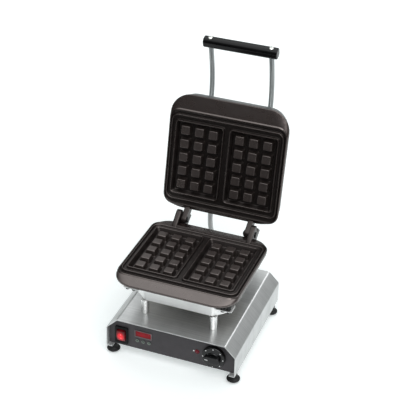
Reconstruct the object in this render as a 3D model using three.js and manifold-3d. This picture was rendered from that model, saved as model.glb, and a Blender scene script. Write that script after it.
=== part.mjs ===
// Double waffle maker with a hinged upper plate, drawn with the lid standing open.
// Millimetres, +Z up, +X to the right of someone who stands in front, +Y to the back.
// While it is drawn, y is 0 at the housing's front edge and z is 0 at the foot of the feet.
// The two baking plates are one shape: the upper one is drawn closed and then swung open.

import * as THREE from "three";
import Module from "manifold-3d";
import { mergeVertices } from "three/addons/utils/BufferGeometryUtils.js";

const wasm = await Module();
wasm.setup();

// Shared clearances and drawing values
const gap = 0.3;
const slide_gap = 0.5;
const overrun = 2;
const corner_steps = 4;
const outline_steps = 2;
const round_sides = 18;
const small_sides = 10;
const wire_sides = 6;
const hex_sides = 6;

// Feet
const foot_height = 22;
const foot_radius = 15.5;
const foot_tread_radius = 10;
const foot_tread_height = 4;
const foot_disc_height = 7;
const foot_disc_slope = 2.5;
const foot_neck_radius = 8.5;
const foot_neck_base_radius = 11;
const foot_inset_side = 9;
const foot_inset_front = 18.5;
const foot_inset_back = 21;
const foot_stud_radius = 4;
const foot_stud_length = 7;

// Base housing, a folded sheet with sloping shoulders
const base_width = 300;
const base_depth = 306;
const base_side_height = 51;
const base_shoulder = 25;
const base_sheet = 2;
const base_flange = 14;
const panel_recess = 12;
const panel_sheet = 2;
const bottom_sheet = 1.5;

// Pillars between the deck and the heater tray
const pillar_radius = 9;
const pillar_height = 36;
const pillar_front_y = 51;
const pillar_back_y = 214;
const pillar_edge = 0.8;
const pillar_stud_radius = 3;
const pillar_stud_length = 8;
const stud_boss_radius = 6.5;
const stud_boss_height = 10;

// Heater tray, a sheet box with cut corners
const tray_half_width = 109.5;
const tray_front_y = 44;
const tray_back_y = 220;
const tray_corner = 30;
const pillar_corner_inset = 0.5;
const pillar_offset_x = tray_half_width - tray_corner - pillar_corner_inset;
const tray_sheet = 1.5;
const tray_rim_depth = 30;
const tab_thickness = 2;
const tab_reach = 8;
const tab_side_reach = 20;

// Sleeve for the wires between deck and tray
const sleeve_radius = 12;
const sleeve_wall = 1.5;
const sleeve_y = 170;

// Baking plates. A depth is measured from the plane where the two plates meet.
const parting_above_tray = 80.5;
const skirt_wall = 7;
const tray_clearance = 12.5;
const skirt_half_width = tray_half_width + tray_clearance + skirt_wall;
const lip_overhang = 10.5;
const lip_half_width = skirt_half_width + lip_overhang;
const shoulder_inset = 4.1;
const shoulder_half_width = lip_half_width - shoulder_inset;
const ridge_inset = 8.9;
const ridge_half_width = lip_half_width - ridge_inset;
const mould_side_margin = 10.1;
const mould_middle_margin = 7.5;
const mould_half_width = (ridge_half_width - mould_side_margin - mould_middle_margin) / 2;
const mould_offset_x = mould_half_width + mould_middle_margin;
const block_margin = 11;
const block_foot_share = 25 / 33;
const block_top_share = 19 / 33;
const block_pitch_x = (mould_half_width - block_margin) / (1 + block_foot_share / 2);
const block_foot = block_foot_share * block_pitch_x;
const block_top = block_top_share * block_pitch_x;
const ear_offset_x = tray_half_width;
const block_rows = 5;
const block_columns = 3;
const block_pitch_y = 32;
const block_height = 12;
const block_corner = 2;
const block_root = 1;
const block_space = 5;
const mould_center_y = 131;
const mould_half_length = 86.5;
const mould_shift_y = 1.5;
const mould_corner = 6;
const mould_wall_slope = 5;
const mould_ridge_width = 1.6;
const mould_ridge_foot = 1.6;
const moat_depth = 8;
const ridge_depth = 3.6;
const ridge_front_y = 33;
const ridge_back_y = 233;
const ridge_corner = 15;
const ridge_width = 1.2;
const ridge_slope = 1.8;
const groove_depth = 9.5;
const shoulder_depth = 7.6;
const shoulder_front_y = 22.5;
const shoulder_back_y = 246;
const shoulder_corner = 21;
const shoulder_round = 1.4;
const lip_corner = 48;
const lip_front_depth = 13.5;
const lip_back_depth = 8.6;
const lip_thickness = 5;
const lip_round = 0.8;
const lower_lip_front_y = -6.5;
const lower_lip_back_y = 264;
const upper_lip_front_y = -14.5;
const upper_lip_back_y = 254;
const skirt_depth = 40;
const skirt_front_y = 29;
const skirt_back_y = 234;
const skirt_corner = 46;
const skirt_root_inset = 6;
const plate_floor = 7.5;
const hollow_draft = 4;
const ear_front_y = 42;
const ear_back_y = 221;
const ear_half_width = 7;
const ear_radius = 5.5;
const ear_depth = 50;
const bolt_radius = 2.5;
const bolt_head_radius = 4.8;
const bolt_head_height = 5.5;
const bolt_length = 16;

// Hinge
const hinge_y = 276;
const hinge_drop = 6.5;
const open_degrees = 100.5;
const pin_radius = 5;
const pin_head_radius = 7.5;
const pin_head_length = 3;
const pin_tail = 4;
const clip_radius = 8;
const clip_thickness = 1.5;
const lug_radius = 10;
const lower_lug_rise = 13;
const lower_lug_reach = 36;
const lug_inset = 69;
const upper_lug_inner_x = lip_half_width - lug_inset;
const upper_lug_width = 12.5;
const lower_lug_width = 11.5;
const lug_side_gap = 0.6;
const upper_lug_top_depth = 36;
const upper_lug_root_depth = 12;
const lug_root_overlap = 8;
const stop_width_share = 0.8;
const stop_near_share = 0.12;
const stop_far_share = 0.42;
const stop_depth = 12;

// Heating elements
const element_radius = 3.3;
const element_tray_inset = 11.5;
const element_outer_x = tray_half_width - element_tray_inset;
const element_inner_x = 34;
const element_front_y = 62;
const element_back_y = 186;
const element_end_y = 206;
const element_bend = 14;
const element_steps = 40;

// Upper cover
const cover_sheet = 1.2;
const cover_height = 80.5;
const cover_inset = 4;
const cover_half_width = lip_half_width - cover_inset;
const cover_front_y = -12.5;
const cover_back_y = 248;
const cover_corner = 36;
const cover_rim_front_depth = 20.5;
const cover_rim_back_depth = 19.8;
const cover_slope_depth = 41;
const cover_side_slant = 4.5;
const cover_top_inset = 28;
const cover_front_slant = 7;
const cover_bend_share = 0.75;
const cover_bend_slant_share = 2.5;
const cover_round = 6;
const post_radius = 6;

// Handle
const rod_radius = 5.9;
const rod_inset = 58.4;
const rod_offset_x = skirt_half_width - rod_inset;
const rod_end_y = 205;
const rod_flat_y = 10;
const rod_steps = 20;
const grip_y = -133;
const grip_above_parting = 42.9;
const grip_tilt_degrees = 27;
const grip_end_length = 15.1;
const grip_half_length = rod_offset_x + grip_end_length;
const grip_thickness = 24;
const grip_height = 23;
const grip_corner = 9;
const grip_bevel = 2.5;
const grip_socket_depth = 9;
const rod_handle_pull = 50;
const rod_cover_pull = 48;
const handle_screw_head_radius = 5.5;
const handle_screw_head_height = 2.6;
const handle_screw_radius = 2.4;
const handle_screw_reach = 10;
const strap_front_y = 30;
const strap_back_y = 185;
const strap_length = 22;
const strap_sheet = 2.5;
const strap_end_length = 10;
const strap_screw_inset = 41;
const strap_screw_x = skirt_half_width - strap_screw_inset;
const strap_half_width = strap_screw_x + strap_end_length;
const strap_screw_radius = 2;
const strap_screw_head_radius = 4.2;
const strap_screw_head_height = 2.6;
const strap_screw_length = 14;

// Hose for the lid's wires
const hose_radius = 6;
const hose_fitting_radius = 10;
const hose_fitting_length = 16;
const hose_fitting_neck = 6.5;
const hose_fitting_bore = 4;
const hose_fitting_tail = 8;
const hose_lock_radius = 11;
const hose_lock_length = 5;
const hose_base_x = -24;
const hose_base_above_foot = 56;
const hose_base_pull = 170;
const hose_lid_x = -37;
const hose_lid_below_top = 20.5;
const hose_lid_depth = cover_height - hose_lid_below_top;
const hose_lid_pull = 120;
const hose_steps = 24;

// Controls on the front panel, heights above the housing's lower edge
const switch_inset = 32;
const switch_x = switch_inset - base_width / 2;
const switch_height = 29.5;
const bezel_width = 31;
const bezel_length = 44;
const bezel_stand = 4;
const bezel_corner = 2;
const bezel_opening_width = 20.2;
const bezel_opening_length = 31.4;
const bezel_body_depth = 18;
const bezel_body_wall = 1.4;
const rocker_width = 19.2;
const rocker_length = 28;
const rocker_crown = 5.4;
const rocker_edge = 3.2;
const rocker_back = 5;
const rocker_back_share = 0.6;
const rocker_pivot_depth = 1;
const rocker_degrees = 8;
const display_inset = 83;
const display_x = display_inset - base_width / 2;
const display_height = 43;
const display_width = 41;
const display_length = 18.5;
const display_border = 1.8;
const display_stand = 1.2;
const display_flange = 2.4;
const window_thickness = 1.6;
const window_inset = 0.7;
const board_width = 62;
const board_height = 40;
const board_thickness = 1.6;
const board_depth = 7;
const board_center_height = 33;
const button_center_height = 24.5;
const button_pitch = 13.8;
const button_radius = 3.8;
const button_stand = 1.4;
const button_travel = 1;
const button_flange = 1.4;
const button_flange_thickness = 1;
const button_count = 3;
const lamp_inset = 91;
const lamp_x = base_width / 2 - lamp_inset;
const lamp_height = 35.5;
const lamp_radius = 4.2;
const lamp_rim = 1.2;
const lamp_stand = 2.4;
const lamp_crown_share = 0.6;
const lamp_crown_height_share = 0.85;
const lamp_rim_thickness = 1;
const lamp_tail = 16;
const knob_inset = 52;
const knob_x = base_width / 2 - knob_inset;
const knob_height = 35.5;
const knob_skirt_radius = 26.5;
const knob_skirt_thickness = 9.5;
const knob_skirt_edge = 1.2;
const knob_body_radius = 13.5;
const knob_length = 20;
const knob_grip_width = 16;
const knob_grip_length = 38;
const knob_grip_depth = 8;
const knob_bore_depth = 14;
const knob_sides = 32;
const shaft_radius = 3;
const thermostat_width = 36;
const thermostat_depth = 24;
const thermostat_bush_radius = 5;
const thermostat_bush_length = 8;
const bulb_radius = 3;
const bulb_length = 70;
const capillary_radius = 1.2;
const capillary_steps = 36;
const capillary_route = [
  [0, 112, 186.5],
  [0, 125, 186.3],
  [0, 150, 178],
  [0, 168, 160],
  [0, 170, 140],
  [0, 170, 110],
  [0, 168, 92],
  [8, 150, 80],
  [40, 110, 72],
  [78, 70, 64],
  [92, 48, 60],
  [95, 41.5, 58],
];
const terminal_width = 46;
const terminal_depth = 18;
const terminal_height = 16;
const terminal_step = 5;
const terminal_way_pitch = 9;
const terminal_way_radius = 2.4;
const terminal_wall_distance = 59;
const terminal_y = base_depth - panel_recess - terminal_wall_distance;
const lid_terminal_y = 152;
const gland_inset = 50;
const gland_x = gland_inset - base_width / 2;
const gland_height = 28;
const gland_radius = 9;
const gland_bore = 4.5;
const gland_length = 22;
const gland_nut_radius = 12;
const gland_nut_length = 6;
const gland_tail = 9;
const vent_count = 7;
const vent_pitch = 14;
const vent_width = 4;
const vent_length = 34;
const vent_center_height = 38;
const vent_inset = 100;
const vent_center_x = base_width / 2 - vent_inset;

// Levels and lines that follow from the sizes above
const deck_level = foot_height + base_side_height + base_shoulder;
const tray_level = deck_level + pillar_height;
const parting_level = tray_level + parting_above_tray;
const hinge_level = parting_level - hinge_drop;
const block_top_depth = block_space / 2;
const mould_floor_depth = block_top_depth + block_height;
const hollow_depth = mould_floor_depth + plate_floor;
const panel_y = panel_recess;
const back_panel_y = base_depth - panel_recess;
const open_angle = THREE.MathUtils.degToRad(open_degrees);
const grip_tilt = THREE.MathUtils.degToRad(grip_tilt_degrees);
const cover_level = parting_level + cover_height;
const rod_level = cover_level + gap + rod_radius;
const grip_level = parting_level + grip_above_parting;
const lower_lug_inner_x = upper_lug_inner_x + upper_lug_width + lug_side_gap;
const tab_level = parting_level - ear_depth - gap - tab_thickness;
const hose_base_level = foot_height + hose_base_above_foot;
const foot_places = [
  ["front_left", -1, foot_inset_front],
  ["front_right", 1, foot_inset_front],
  ["rear_left", -1, base_depth - foot_inset_back],
  ["rear_right", 1, base_depth - foot_inset_back],
];
const pillar_places = [
  ["front_left", -1, pillar_front_y],
  ["front_right", 1, pillar_front_y],
  ["rear_left", -1, pillar_back_y],
  ["rear_right", 1, pillar_back_y],
];

// Turns a closed three.js geometry into a solid whose faces point out
function solid(geometry) {
  const bare = geometry.clone();
  bare.deleteAttribute("normal");
  bare.deleteAttribute("uv");
  const merged = mergeVertices(bare);
  const points = Float32Array.from(merged.attributes.position.array);
  const corners = Uint32Array.from(merged.index.array);
  const a = new THREE.Vector3();
  const b = new THREE.Vector3();
  const c = new THREE.Vector3();
  let volume = 0;
  for (let i = 0; i < corners.length; i += 3) {
    a.fromArray(points, 3 * corners[i]);
    b.fromArray(points, 3 * corners[i + 1]);
    c.fromArray(points, 3 * corners[i + 2]);
    volume += a.dot(b.cross(c));
  }
  if (volume < 0) {
    corners.reverse();
  }
  return new wasm.Manifold(new wasm.Mesh({ numProp: 3, vertProperties: points, triVerts: corners }));
}

function join(first, ...others) {
  return others.reduce((whole, next) => whole.add(next), first);
}

function cut(first, ...others) {
  return others.reduce((whole, next) => whole.subtract(next), first);
}

// A box from its lowest to its highest corner
function block(x0, y0, z0, x1, y1, z1) {
  const box = new THREE.BoxGeometry(x1 - x0, y1 - y0, z1 - z0);
  return solid(box.translate((x0 + x1) / 2, (y0 + y1) / 2, (z0 + z1) / 2));
}

// A round bar along one axis, from start to end, through the point given by the other two
function bar(radius, axis, start, end, u, v, sides = round_sides) {
  const round = new THREE.CylinderGeometry(radius, radius, end - start, sides);
  round.translate(0, (start + end) / 2, 0);
  if (axis === "x") {
    return solid(round.rotateZ(-Math.PI / 2).translate(0, u, v));
  }
  if (axis === "y") {
    return solid(round.translate(u, 0, v));
  }
  return solid(round.rotateX(Math.PI / 2).translate(u, v, 0));
}

// A turned piece around the Z axis from pairs of radius and height
function turned(profile, sides = round_sides) {
  const points = profile.map(([radius, height]) => new THREE.Vector2(radius, height));
  return new THREE.LatheGeometry(points, sides).rotateX(Math.PI / 2);
}

// An outline in the plane across an axis, drawn out along that axis from start to end
function prism(outline, axis, start, end) {
  const corners = Array.isArray(outline) ? outline.map(([u, v]) => new THREE.Vector2(u, v)) : null;
  const shape = corners ? new THREE.Shape(corners) : outline;
  const drawn = new THREE.ExtrudeGeometry(shape, {
    depth: end - start,
    bevelEnabled: false,
    curveSegments: outline_steps,
  });
  const turn = new THREE.Matrix4();
  if (axis === "x") {
    turn.set(0, 0, 1, start, 1, 0, 0, 0, 0, 1, 0, 0, 0, 0, 0, 1);
  } else if (axis === "y") {
    turn.set(1, 0, 0, 0, 0, 0, -1, end, 0, 1, 0, 0, 0, 0, 0, 1);
  } else {
    turn.set(1, 0, 0, 0, 0, 1, 0, 0, 0, 0, 1, start, 0, 0, 0, 1);
  }
  return solid(drawn.applyMatrix4(turn));
}

function roundedShape(width, height, radius, u = 0, v = 0) {
  const shape = new THREE.Shape();
  const right = u + width / 2 - radius;
  const top = v + height / 2 - radius;
  const left = u - width / 2 + radius;
  const bottom = v - height / 2 + radius;
  shape.absarc(right, top, radius, 0, Math.PI / 2);
  shape.absarc(left, top, radius, Math.PI / 2, Math.PI);
  shape.absarc(left, bottom, radius, Math.PI, 1.5 * Math.PI);
  shape.absarc(right, bottom, radius, 1.5 * Math.PI, 2 * Math.PI);
  return shape;
}

// A ring of points around a rectangle with round corners. Its level may fall evenly from front to back.
function ring(half, front, back, corner, front_level, back_level = front_level, x = 0) {
  const points = [];
  const centers = [
    [x + half - corner, back - corner, 0],
    [x - half + corner, back - corner, 1],
    [x - half + corner, front + corner, 2],
    [x + half - corner, front + corner, 3],
  ];
  for (const [center_x, center_y, quarter] of centers) {
    for (let step = 0; step <= corner_steps; step += 1) {
      const angle = (quarter + step / corner_steps) * (Math.PI / 2);
      const y = center_y + corner * Math.sin(angle);
      const share = (y - front) / (back - front);
      const level = front_level + share * (back_level - front_level);
      points.push(new THREE.Vector3(center_x + corner * Math.cos(angle), y, level));
    }
  }
  return points;
}

// A solid through rings of equal count, from the lowest ring to the highest
function loft(rings) {
  const sides = rings[0].length;
  const positions = rings.flat().flatMap((point) => point.toArray());
  const faces = [];
  for (let level = 0; level < rings.length - 1; level += 1) {
    for (let side = 0; side < sides; side += 1) {
      const a = level * sides + side;
      const b = level * sides + ((side + 1) % sides);
      faces.push(a, b, b + sides, a, b + sides, a + sides);
    }
  }
  const last = (rings.length - 1) * sides;
  for (let side = 1; side < sides - 1; side += 1) {
    faces.push(0, side + 1, side);
    faces.push(last, last + side, last + side + 1);
  }
  const geometry = new THREE.BufferGeometry();
  geometry.setAttribute("position", new THREE.Float32BufferAttribute(positions, 3));
  geometry.setIndex(faces);
  return solid(geometry);
}

// A round tube or wire along a curve
function tube(curve, radius, sides, steps) {
  const section = new THREE.Shape();
  for (let side = 0; side < sides; side += 1) {
    const angle = (side / sides) * 2 * Math.PI;
    const point = [radius * Math.cos(angle), radius * Math.sin(angle)];
    if (side === 0) {
      section.moveTo(...point);
    } else {
      section.lineTo(...point);
    }
  }
  return solid(new THREE.ExtrudeGeometry(section, { extrudePath: curve, steps, bevelEnabled: false }));
}

// Straight runs joined by round bends, as one path of points
function bentPath(corners, bend) {
  const path = new THREE.CurvePath();
  let from = corners[0];
  for (let i = 1; i < corners.length - 1; i += 1) {
    const corner = corners[i];
    const into = corner.clone().sub(corners[i - 1]).setLength(bend);
    const out = corners[i + 1].clone().sub(corner).setLength(bend);
    const start = corner.clone().sub(into);
    const end = corner.clone().add(out);
    path.add(new THREE.LineCurve3(from, start));
    path.add(new THREE.QuadraticBezierCurve3(start, corner, end));
    from = end;
  }
  path.add(new THREE.LineCurve3(from, corners[corners.length - 1]));
  return path;
}

// The outer corners of a set of points, as an outline
function hull(points) {
  const sorted = [...points].sort((p, q) => p[0] - q[0] || p[1] - q[1]);
  const side = (list) => {
    const kept = [];
    for (const point of list) {
      while (kept.length > 1) {
        const [p, q] = kept.slice(-2);
        const turn = (q[0] - p[0]) * (point[1] - p[1]) - (q[1] - p[1]) * (point[0] - p[0]);
        if (turn > 0) {
          break;
        }
        kept.pop();
      }
      kept.push(point);
    }
    return kept.slice(0, -1);
  };
  return [...side(sorted), ...side(sorted.reverse())];
}

// Where a piece between two distances from the middle starts and ends in x, on the left or right
function across(side, near, far) {
  return [Math.min(side * near, side * far), Math.max(side * near, side * far)];
}

function circlePoints(y, z, radius, sides = round_sides) {
  return Array.from({ length: sides }, (_, i) => {
    const angle = (i / sides) * 2 * Math.PI;
    return [y + radius * Math.cos(angle), z + radius * Math.sin(angle)];
  });
}

const machine = new THREE.Group();
const lid = new THREE.Group();
lid.position.set(0, hinge_y, hinge_level);
lid.rotation.x = -open_angle;
machine.add(lid);

const looks = {
  steel: { color: 0xc9cbcc, roughness: 0.32, metalness: 1 },
  bright: { color: 0xdcdedf, roughness: 0.16, metalness: 1 },
  cast: { color: 0x3b3431, roughness: 0.55, metalness: 0.5 },
  panel: { color: 0x3a3a3c, roughness: 0.6, metalness: 0 },
  rubber: { color: 0x18181a, roughness: 0.8, metalness: 0 },
  black: { color: 0x111113, roughness: 0.25, metalness: 0 },
  red: { color: 0xd8141c, roughness: 0.25, metalness: 0 },
  dark_red: { color: 0x8c1420, roughness: 0.2, metalness: 0 },
  grey: { color: 0x9a9da0, roughness: 0.5, metalness: 0.4 },
  board: { color: 0x1f5a36, roughness: 0.6, metalness: 0 },
  copper: { color: 0xb87048, roughness: 0.35, metalness: 1 },
  ceramic: { color: 0xe6e1d6, roughness: 0.6, metalness: 0 },
};

// Adds one named piece. Pieces of the lid are drawn closed and hang in the lid's group.
function add(name, shape, look, group = machine) {
  const { vertProperties, triVerts } = shape.getMesh();
  const geometry = new THREE.BufferGeometry();
  geometry.setAttribute("position", new THREE.BufferAttribute(Float32Array.from(vertProperties), 3));
  geometry.setIndex(new THREE.BufferAttribute(Uint32Array.from(triVerts), 1));
  if (group === lid) {
    geometry.translate(0, -hinge_y, -hinge_level);
  }
  const mesh = new THREE.Mesh(geometry, new THREE.MeshStandardMaterial(looks[look]));
  mesh.name = name;
  group.add(mesh);
}

// Base: housing, panels, bottom and feet

// The housing's section, moved inwards by a distance from its outer face
function housingOutline(inset, foot) {
  const half = base_width / 2 - inset;
  const slope = inset * Math.tan(Math.PI / 8);
  const side_top = foot_height + base_side_height - slope;
  const top = deck_level - inset;
  const top_half = base_width / 2 - base_shoulder - slope;
  return [
    [-half, foot],
    [half, foot],
    [half, side_top],
    [top_half, top],
    [-top_half, top],
    [-half, side_top],
  ];
}

function studHoles(level, thickness) {
  return pillar_places.map(([, side, y]) => {
    const low = level - thickness - overrun;
    return bar(pillar_stud_radius + gap, "z", low, level + overrun, side * pillar_offset_x, y, small_sides);
  });
}

function addHousing() {
  const outer = prism(housingOutline(0, foot_height), "y", 0, base_depth);
  const inner_outline = housingOutline(base_sheet, foot_height + base_sheet);
  const inner = prism(inner_outline, "y", -overrun, base_depth + overrun);
  const slot_half = base_width / 2 - base_flange;
  const slot_top = foot_height + base_sheet + overrun;
  const slot = block(-slot_half, -overrun, foot_height - overrun, slot_half, base_depth + overrun, slot_top);
  let housing = cut(outer, inner, slot);
  const boss_top = deck_level - base_sheet / 2;
  const boss_foot = deck_level - base_sheet - stud_boss_height;
  for (const [, side, y] of pillar_places) {
    const x = side * pillar_offset_x;
    housing = join(housing, bar(stud_boss_radius, "z", boss_foot, boss_top, x, y, small_sides));
  }
  const holes = studHoles(deck_level, pillar_stud_length);
  for (const [, side, y] of foot_places) {
    const x = side * (base_width / 2 - foot_inset_side);
    holes.push(bar(foot_stud_radius + gap, "z", foot_height - overrun, slot_top, x, y, small_sides));
  }
  const hole_foot = deck_level - base_sheet - overrun;
  holes.push(bar(sleeve_radius - sleeve_wall, "z", hole_foot, deck_level + overrun, 0, sleeve_y));
  add("base_housing", cut(housing, ...holes), "steel");
}

function addBottom() {
  const half = base_width / 2 - base_sheet - slide_gap;
  const level = foot_height + base_sheet + gap;
  const front = panel_y + panel_sheet + slide_gap;
  const back = back_panel_y - panel_sheet - slide_gap;
  const holes = foot_places.map(([, side, y]) => {
    const x = side * (base_width / 2 - foot_inset_side);
    const top = level + bottom_sheet + overrun;
    return bar(foot_stud_radius + gap, "z", level - overrun, top, x, y, small_sides);
  });
  const sheet = block(-half, front, level, half, back, level + bottom_sheet);
  add("bottom_plate", cut(sheet, ...holes), "steel");
}

function addFeet() {
  const top = foot_height - gap;
  const profile = [
    [0, 0],
    [foot_tread_radius, 0],
    [foot_radius, foot_tread_height],
    [foot_radius, foot_disc_height],
    [foot_neck_base_radius, foot_disc_height + foot_disc_slope],
    [foot_neck_radius, top],
    [foot_stud_radius, top],
    [foot_stud_radius, top + foot_stud_length],
    [0, top + foot_stud_length],
  ];
  for (const [place, side, y] of foot_places) {
    const x = side * (base_width / 2 - foot_inset_side);
    add(`foot_${place}`, solid(turned(profile).translate(x, y, 0)), "rubber");
  }
}

// An end panel fits inside the housing's section
function panelPlate(front) {
  const outline = housingOutline(base_sheet + gap, foot_height + base_sheet + gap);
  return prism(outline, "y", front, front + panel_sheet);
}

function addFrontPanel() {
  const low = panel_y - overrun;
  const high = panel_y + panel_sheet + overrun;
  const foot = foot_height;
  const body_width = bezel_opening_width + 2 * bezel_body_wall + 2 * gap;
  const body_length = bezel_opening_length + 2 * bezel_body_wall + 2 * gap;
  const switch_z = foot + switch_height;
  const window_width = display_width - 2 * display_border + 2 * gap;
  const window_length = display_length - 2 * display_border + 2 * gap;
  const window_z = foot + display_height;
  const holes = [
    prism(roundedShape(body_width, body_length, bezel_body_wall, switch_x, switch_z), "y", low, high),
    prism(roundedShape(window_width, window_length, bezel_body_wall, display_x, window_z), "y", low, high),
    bar(lamp_radius + gap, "y", low, high, lamp_x, foot + lamp_height, small_sides),
    bar(thermostat_bush_radius + gap, "y", low, high, knob_x, foot + knob_height, small_sides),
  ];
  for (let i = 0; i < button_count; i += 1) {
    const x = display_x + (i - (button_count - 1) / 2) * button_pitch;
    holes.push(bar(button_radius + gap, "y", low, high, x, foot + button_center_height, small_sides));
  }
  add("front_panel", cut(panelPlate(panel_y), ...holes), "panel");
}

function addRearPanel() {
  const front = back_panel_y - panel_sheet;
  const low = front - overrun;
  const high = back_panel_y + overrun;
  const holes = [
    bar(gland_radius + gap, "y", low, high, gland_x, foot_height + gland_height, small_sides),
    bar(hose_fitting_neck + gap, "y", low, high, hose_base_x, hose_base_level, small_sides),
  ];
  for (let i = 0; i < vent_count; i += 1) {
    const x = vent_center_x + (i - (vent_count - 1) / 2) * vent_pitch;
    const vent_foot = foot_height + vent_center_height - vent_length / 2;
    const half = vent_width / 2;
    holes.push(block(x - half, low, vent_foot, x + half, high, vent_foot + vent_length));
  }
  add("rear_panel", cut(panelPlate(front), ...holes), "steel");
}

// Pillars, sleeve and heater tray

function addPillars() {
  const low = deck_level + gap;
  const high = tray_level - gap;
  const profile = [
    [0, low - pillar_stud_length],
    [pillar_stud_radius, low - pillar_stud_length],
    [pillar_stud_radius, low],
    [pillar_radius - pillar_edge, low],
    [pillar_radius, low + pillar_edge],
    [pillar_radius, high - pillar_edge],
    [pillar_radius - pillar_edge, high],
    [pillar_stud_radius, high],
    [pillar_stud_radius, high + pillar_stud_length],
    [0, high + pillar_stud_length],
  ];
  for (const [place, side, y] of pillar_places) {
    add(`pillar_${place}`, solid(turned(profile).translate(side * pillar_offset_x, y, 0)), "bright");
  }
}

function addSleeve() {
  const low = deck_level + gap;
  const high = tray_level - gap;
  const outer = bar(sleeve_radius, "z", low, high, 0, sleeve_y);
  const inner = bar(sleeve_radius - sleeve_wall, "z", low - overrun, high + overrun, 0, sleeve_y);
  add("wiring_sleeve", cut(outer, inner), "steel");
}

function trayOutline(inset) {
  const half = tray_half_width - inset;
  const front = tray_front_y + inset;
  const back = tray_back_y - inset;
  const corner = tray_corner - inset * (2 - Math.SQRT2);
  return [
    [-half + corner, front],
    [half - corner, front],
    [half, front + corner],
    [half, back - corner],
    [half - corner, back],
    [-half + corner, back],
    [-half, back - corner],
    [-half, front + corner],
  ];
}

// The ears of the lower plate rest on tabs of the tray: front, with two bolts, and back, with one
const ear_places = [
  ["front_left", -1, ear_front_y, [-1, 1]],
  ["front_right", 1, ear_front_y, [-1, 1]],
  ["rear_left", -1, ear_back_y, [0]],
  ["rear_right", 1, ear_back_y, [0]],
];

function boltPlaces() {
  return ear_places.flatMap(([place, side, y, shares]) =>
    shares.map((share) => {
      const names = { "-1": "_inner", 0: "", 1: "_outer" };
      return [`plate_bolt_${place}${names[share]}`, side * (ear_offset_x + share * ear_half_width), y];
    }),
  );
}

function addTray() {
  const rim = parting_level - tray_rim_depth;
  const outer = prism(trayOutline(0), "z", tray_level, rim);
  const inner = prism(trayOutline(tray_sheet), "z", tray_level + tray_sheet, rim + overrun);
  let tray = cut(outer, inner);
  for (const [, side, y] of ear_places) {
    const out = y < mould_center_y ? -1 : 1;
    const root_y = y < mould_center_y ? tray_front_y : tray_back_y;
    const far_x = ear_offset_x + ear_half_width + tab_reach;
    const near_x = tray_half_width - tray_corner;
    const tab = prism(
      [
        [side * (near_x + tray_sheet), root_y - out * tray_sheet],
        [side * (tray_half_width - tray_sheet), root_y - out * (tray_corner - tray_sheet)],
        [side * far_x, y - out * tab_side_reach],
        [side * far_x, y + out * tab_reach],
        [side * (near_x + tab_reach), y + out * tab_reach],
      ],
      "z",
      tab_level,
      tab_level + tab_thickness,
    );
    tray = join(tray, cut(tab, prism(trayOutline(tray_sheet / 2), "z", tab_level - overrun, rim)));
  }
  for (const [, side, y] of pillar_places) {
    const foot = tray_level + tray_sheet / 2;
    const top = tray_level + tray_sheet + stud_boss_height;
    tray = join(tray, bar(stud_boss_radius, "z", foot, top, side * pillar_offset_x, y, small_sides));
  }
  const holes = studHoles(tray_level + pillar_stud_length, pillar_stud_length);
  const tab_top = tab_level + tab_thickness + overrun;
  for (const [, x, y] of boltPlaces()) {
    holes.push(bar(bolt_radius + gap, "z", tab_level - overrun, tab_top, x, y, small_sides));
  }
  const hole_top = tray_level + tray_sheet + overrun;
  holes.push(bar(sleeve_radius - sleeve_wall, "z", tray_level - overrun, hole_top, 0, sleeve_y));
  add("heater_tray", cut(tray, ...holes), "bright");
}

// Baking plates, drawn face up with z 0 in the parting plane, so that a depth counts down from it

function blockShape(x, y) {
  const half_foot = block_foot / 2;
  const half_top = block_top / 2;
  const level = -block_top_depth;
  const eight = (half, corner, z) =>
    [
      [half, half - corner],
      [half - corner, half],
      [corner - half, half],
      [-half, half - corner],
      [-half, corner - half],
      [corner - half, -half],
      [half - corner, -half],
      [half, corner - half],
    ].map(([u, v]) => new THREE.Vector3(x + u, y + v, z));
  return loft([
    eight(half_foot, block_corner, -mould_floor_depth - block_root),
    eight(half_top, block_corner, level),
  ]);
}

function mouldFrame(side) {
  const x = side * mould_offset_x;
  const y = mould_center_y + mould_shift_y;
  const wall = (grow, corner, depth) => {
    const half_length = mould_half_length + grow;
    return ring(mould_half_width + grow, y - half_length, y + half_length, corner, -depth, -depth, x);
  };
  const crest = mould_ridge_width / 2;
  const foot = crest + mould_ridge_foot;
  const outer = loft([
    wall(foot, mould_corner + foot, moat_depth + plate_floor / 2),
    wall(foot, mould_corner + foot, moat_depth),
    wall(crest, mould_corner + crest, block_top_depth),
  ]);
  const cavity = loft([
    wall(-crest - mould_wall_slope, mould_corner - crest, mould_floor_depth),
    wall(-crest, mould_corner, block_top_depth),
    wall(-crest, mould_corner, block_top_depth - overrun),
  ]);
  return { outer, cavity };
}

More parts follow.
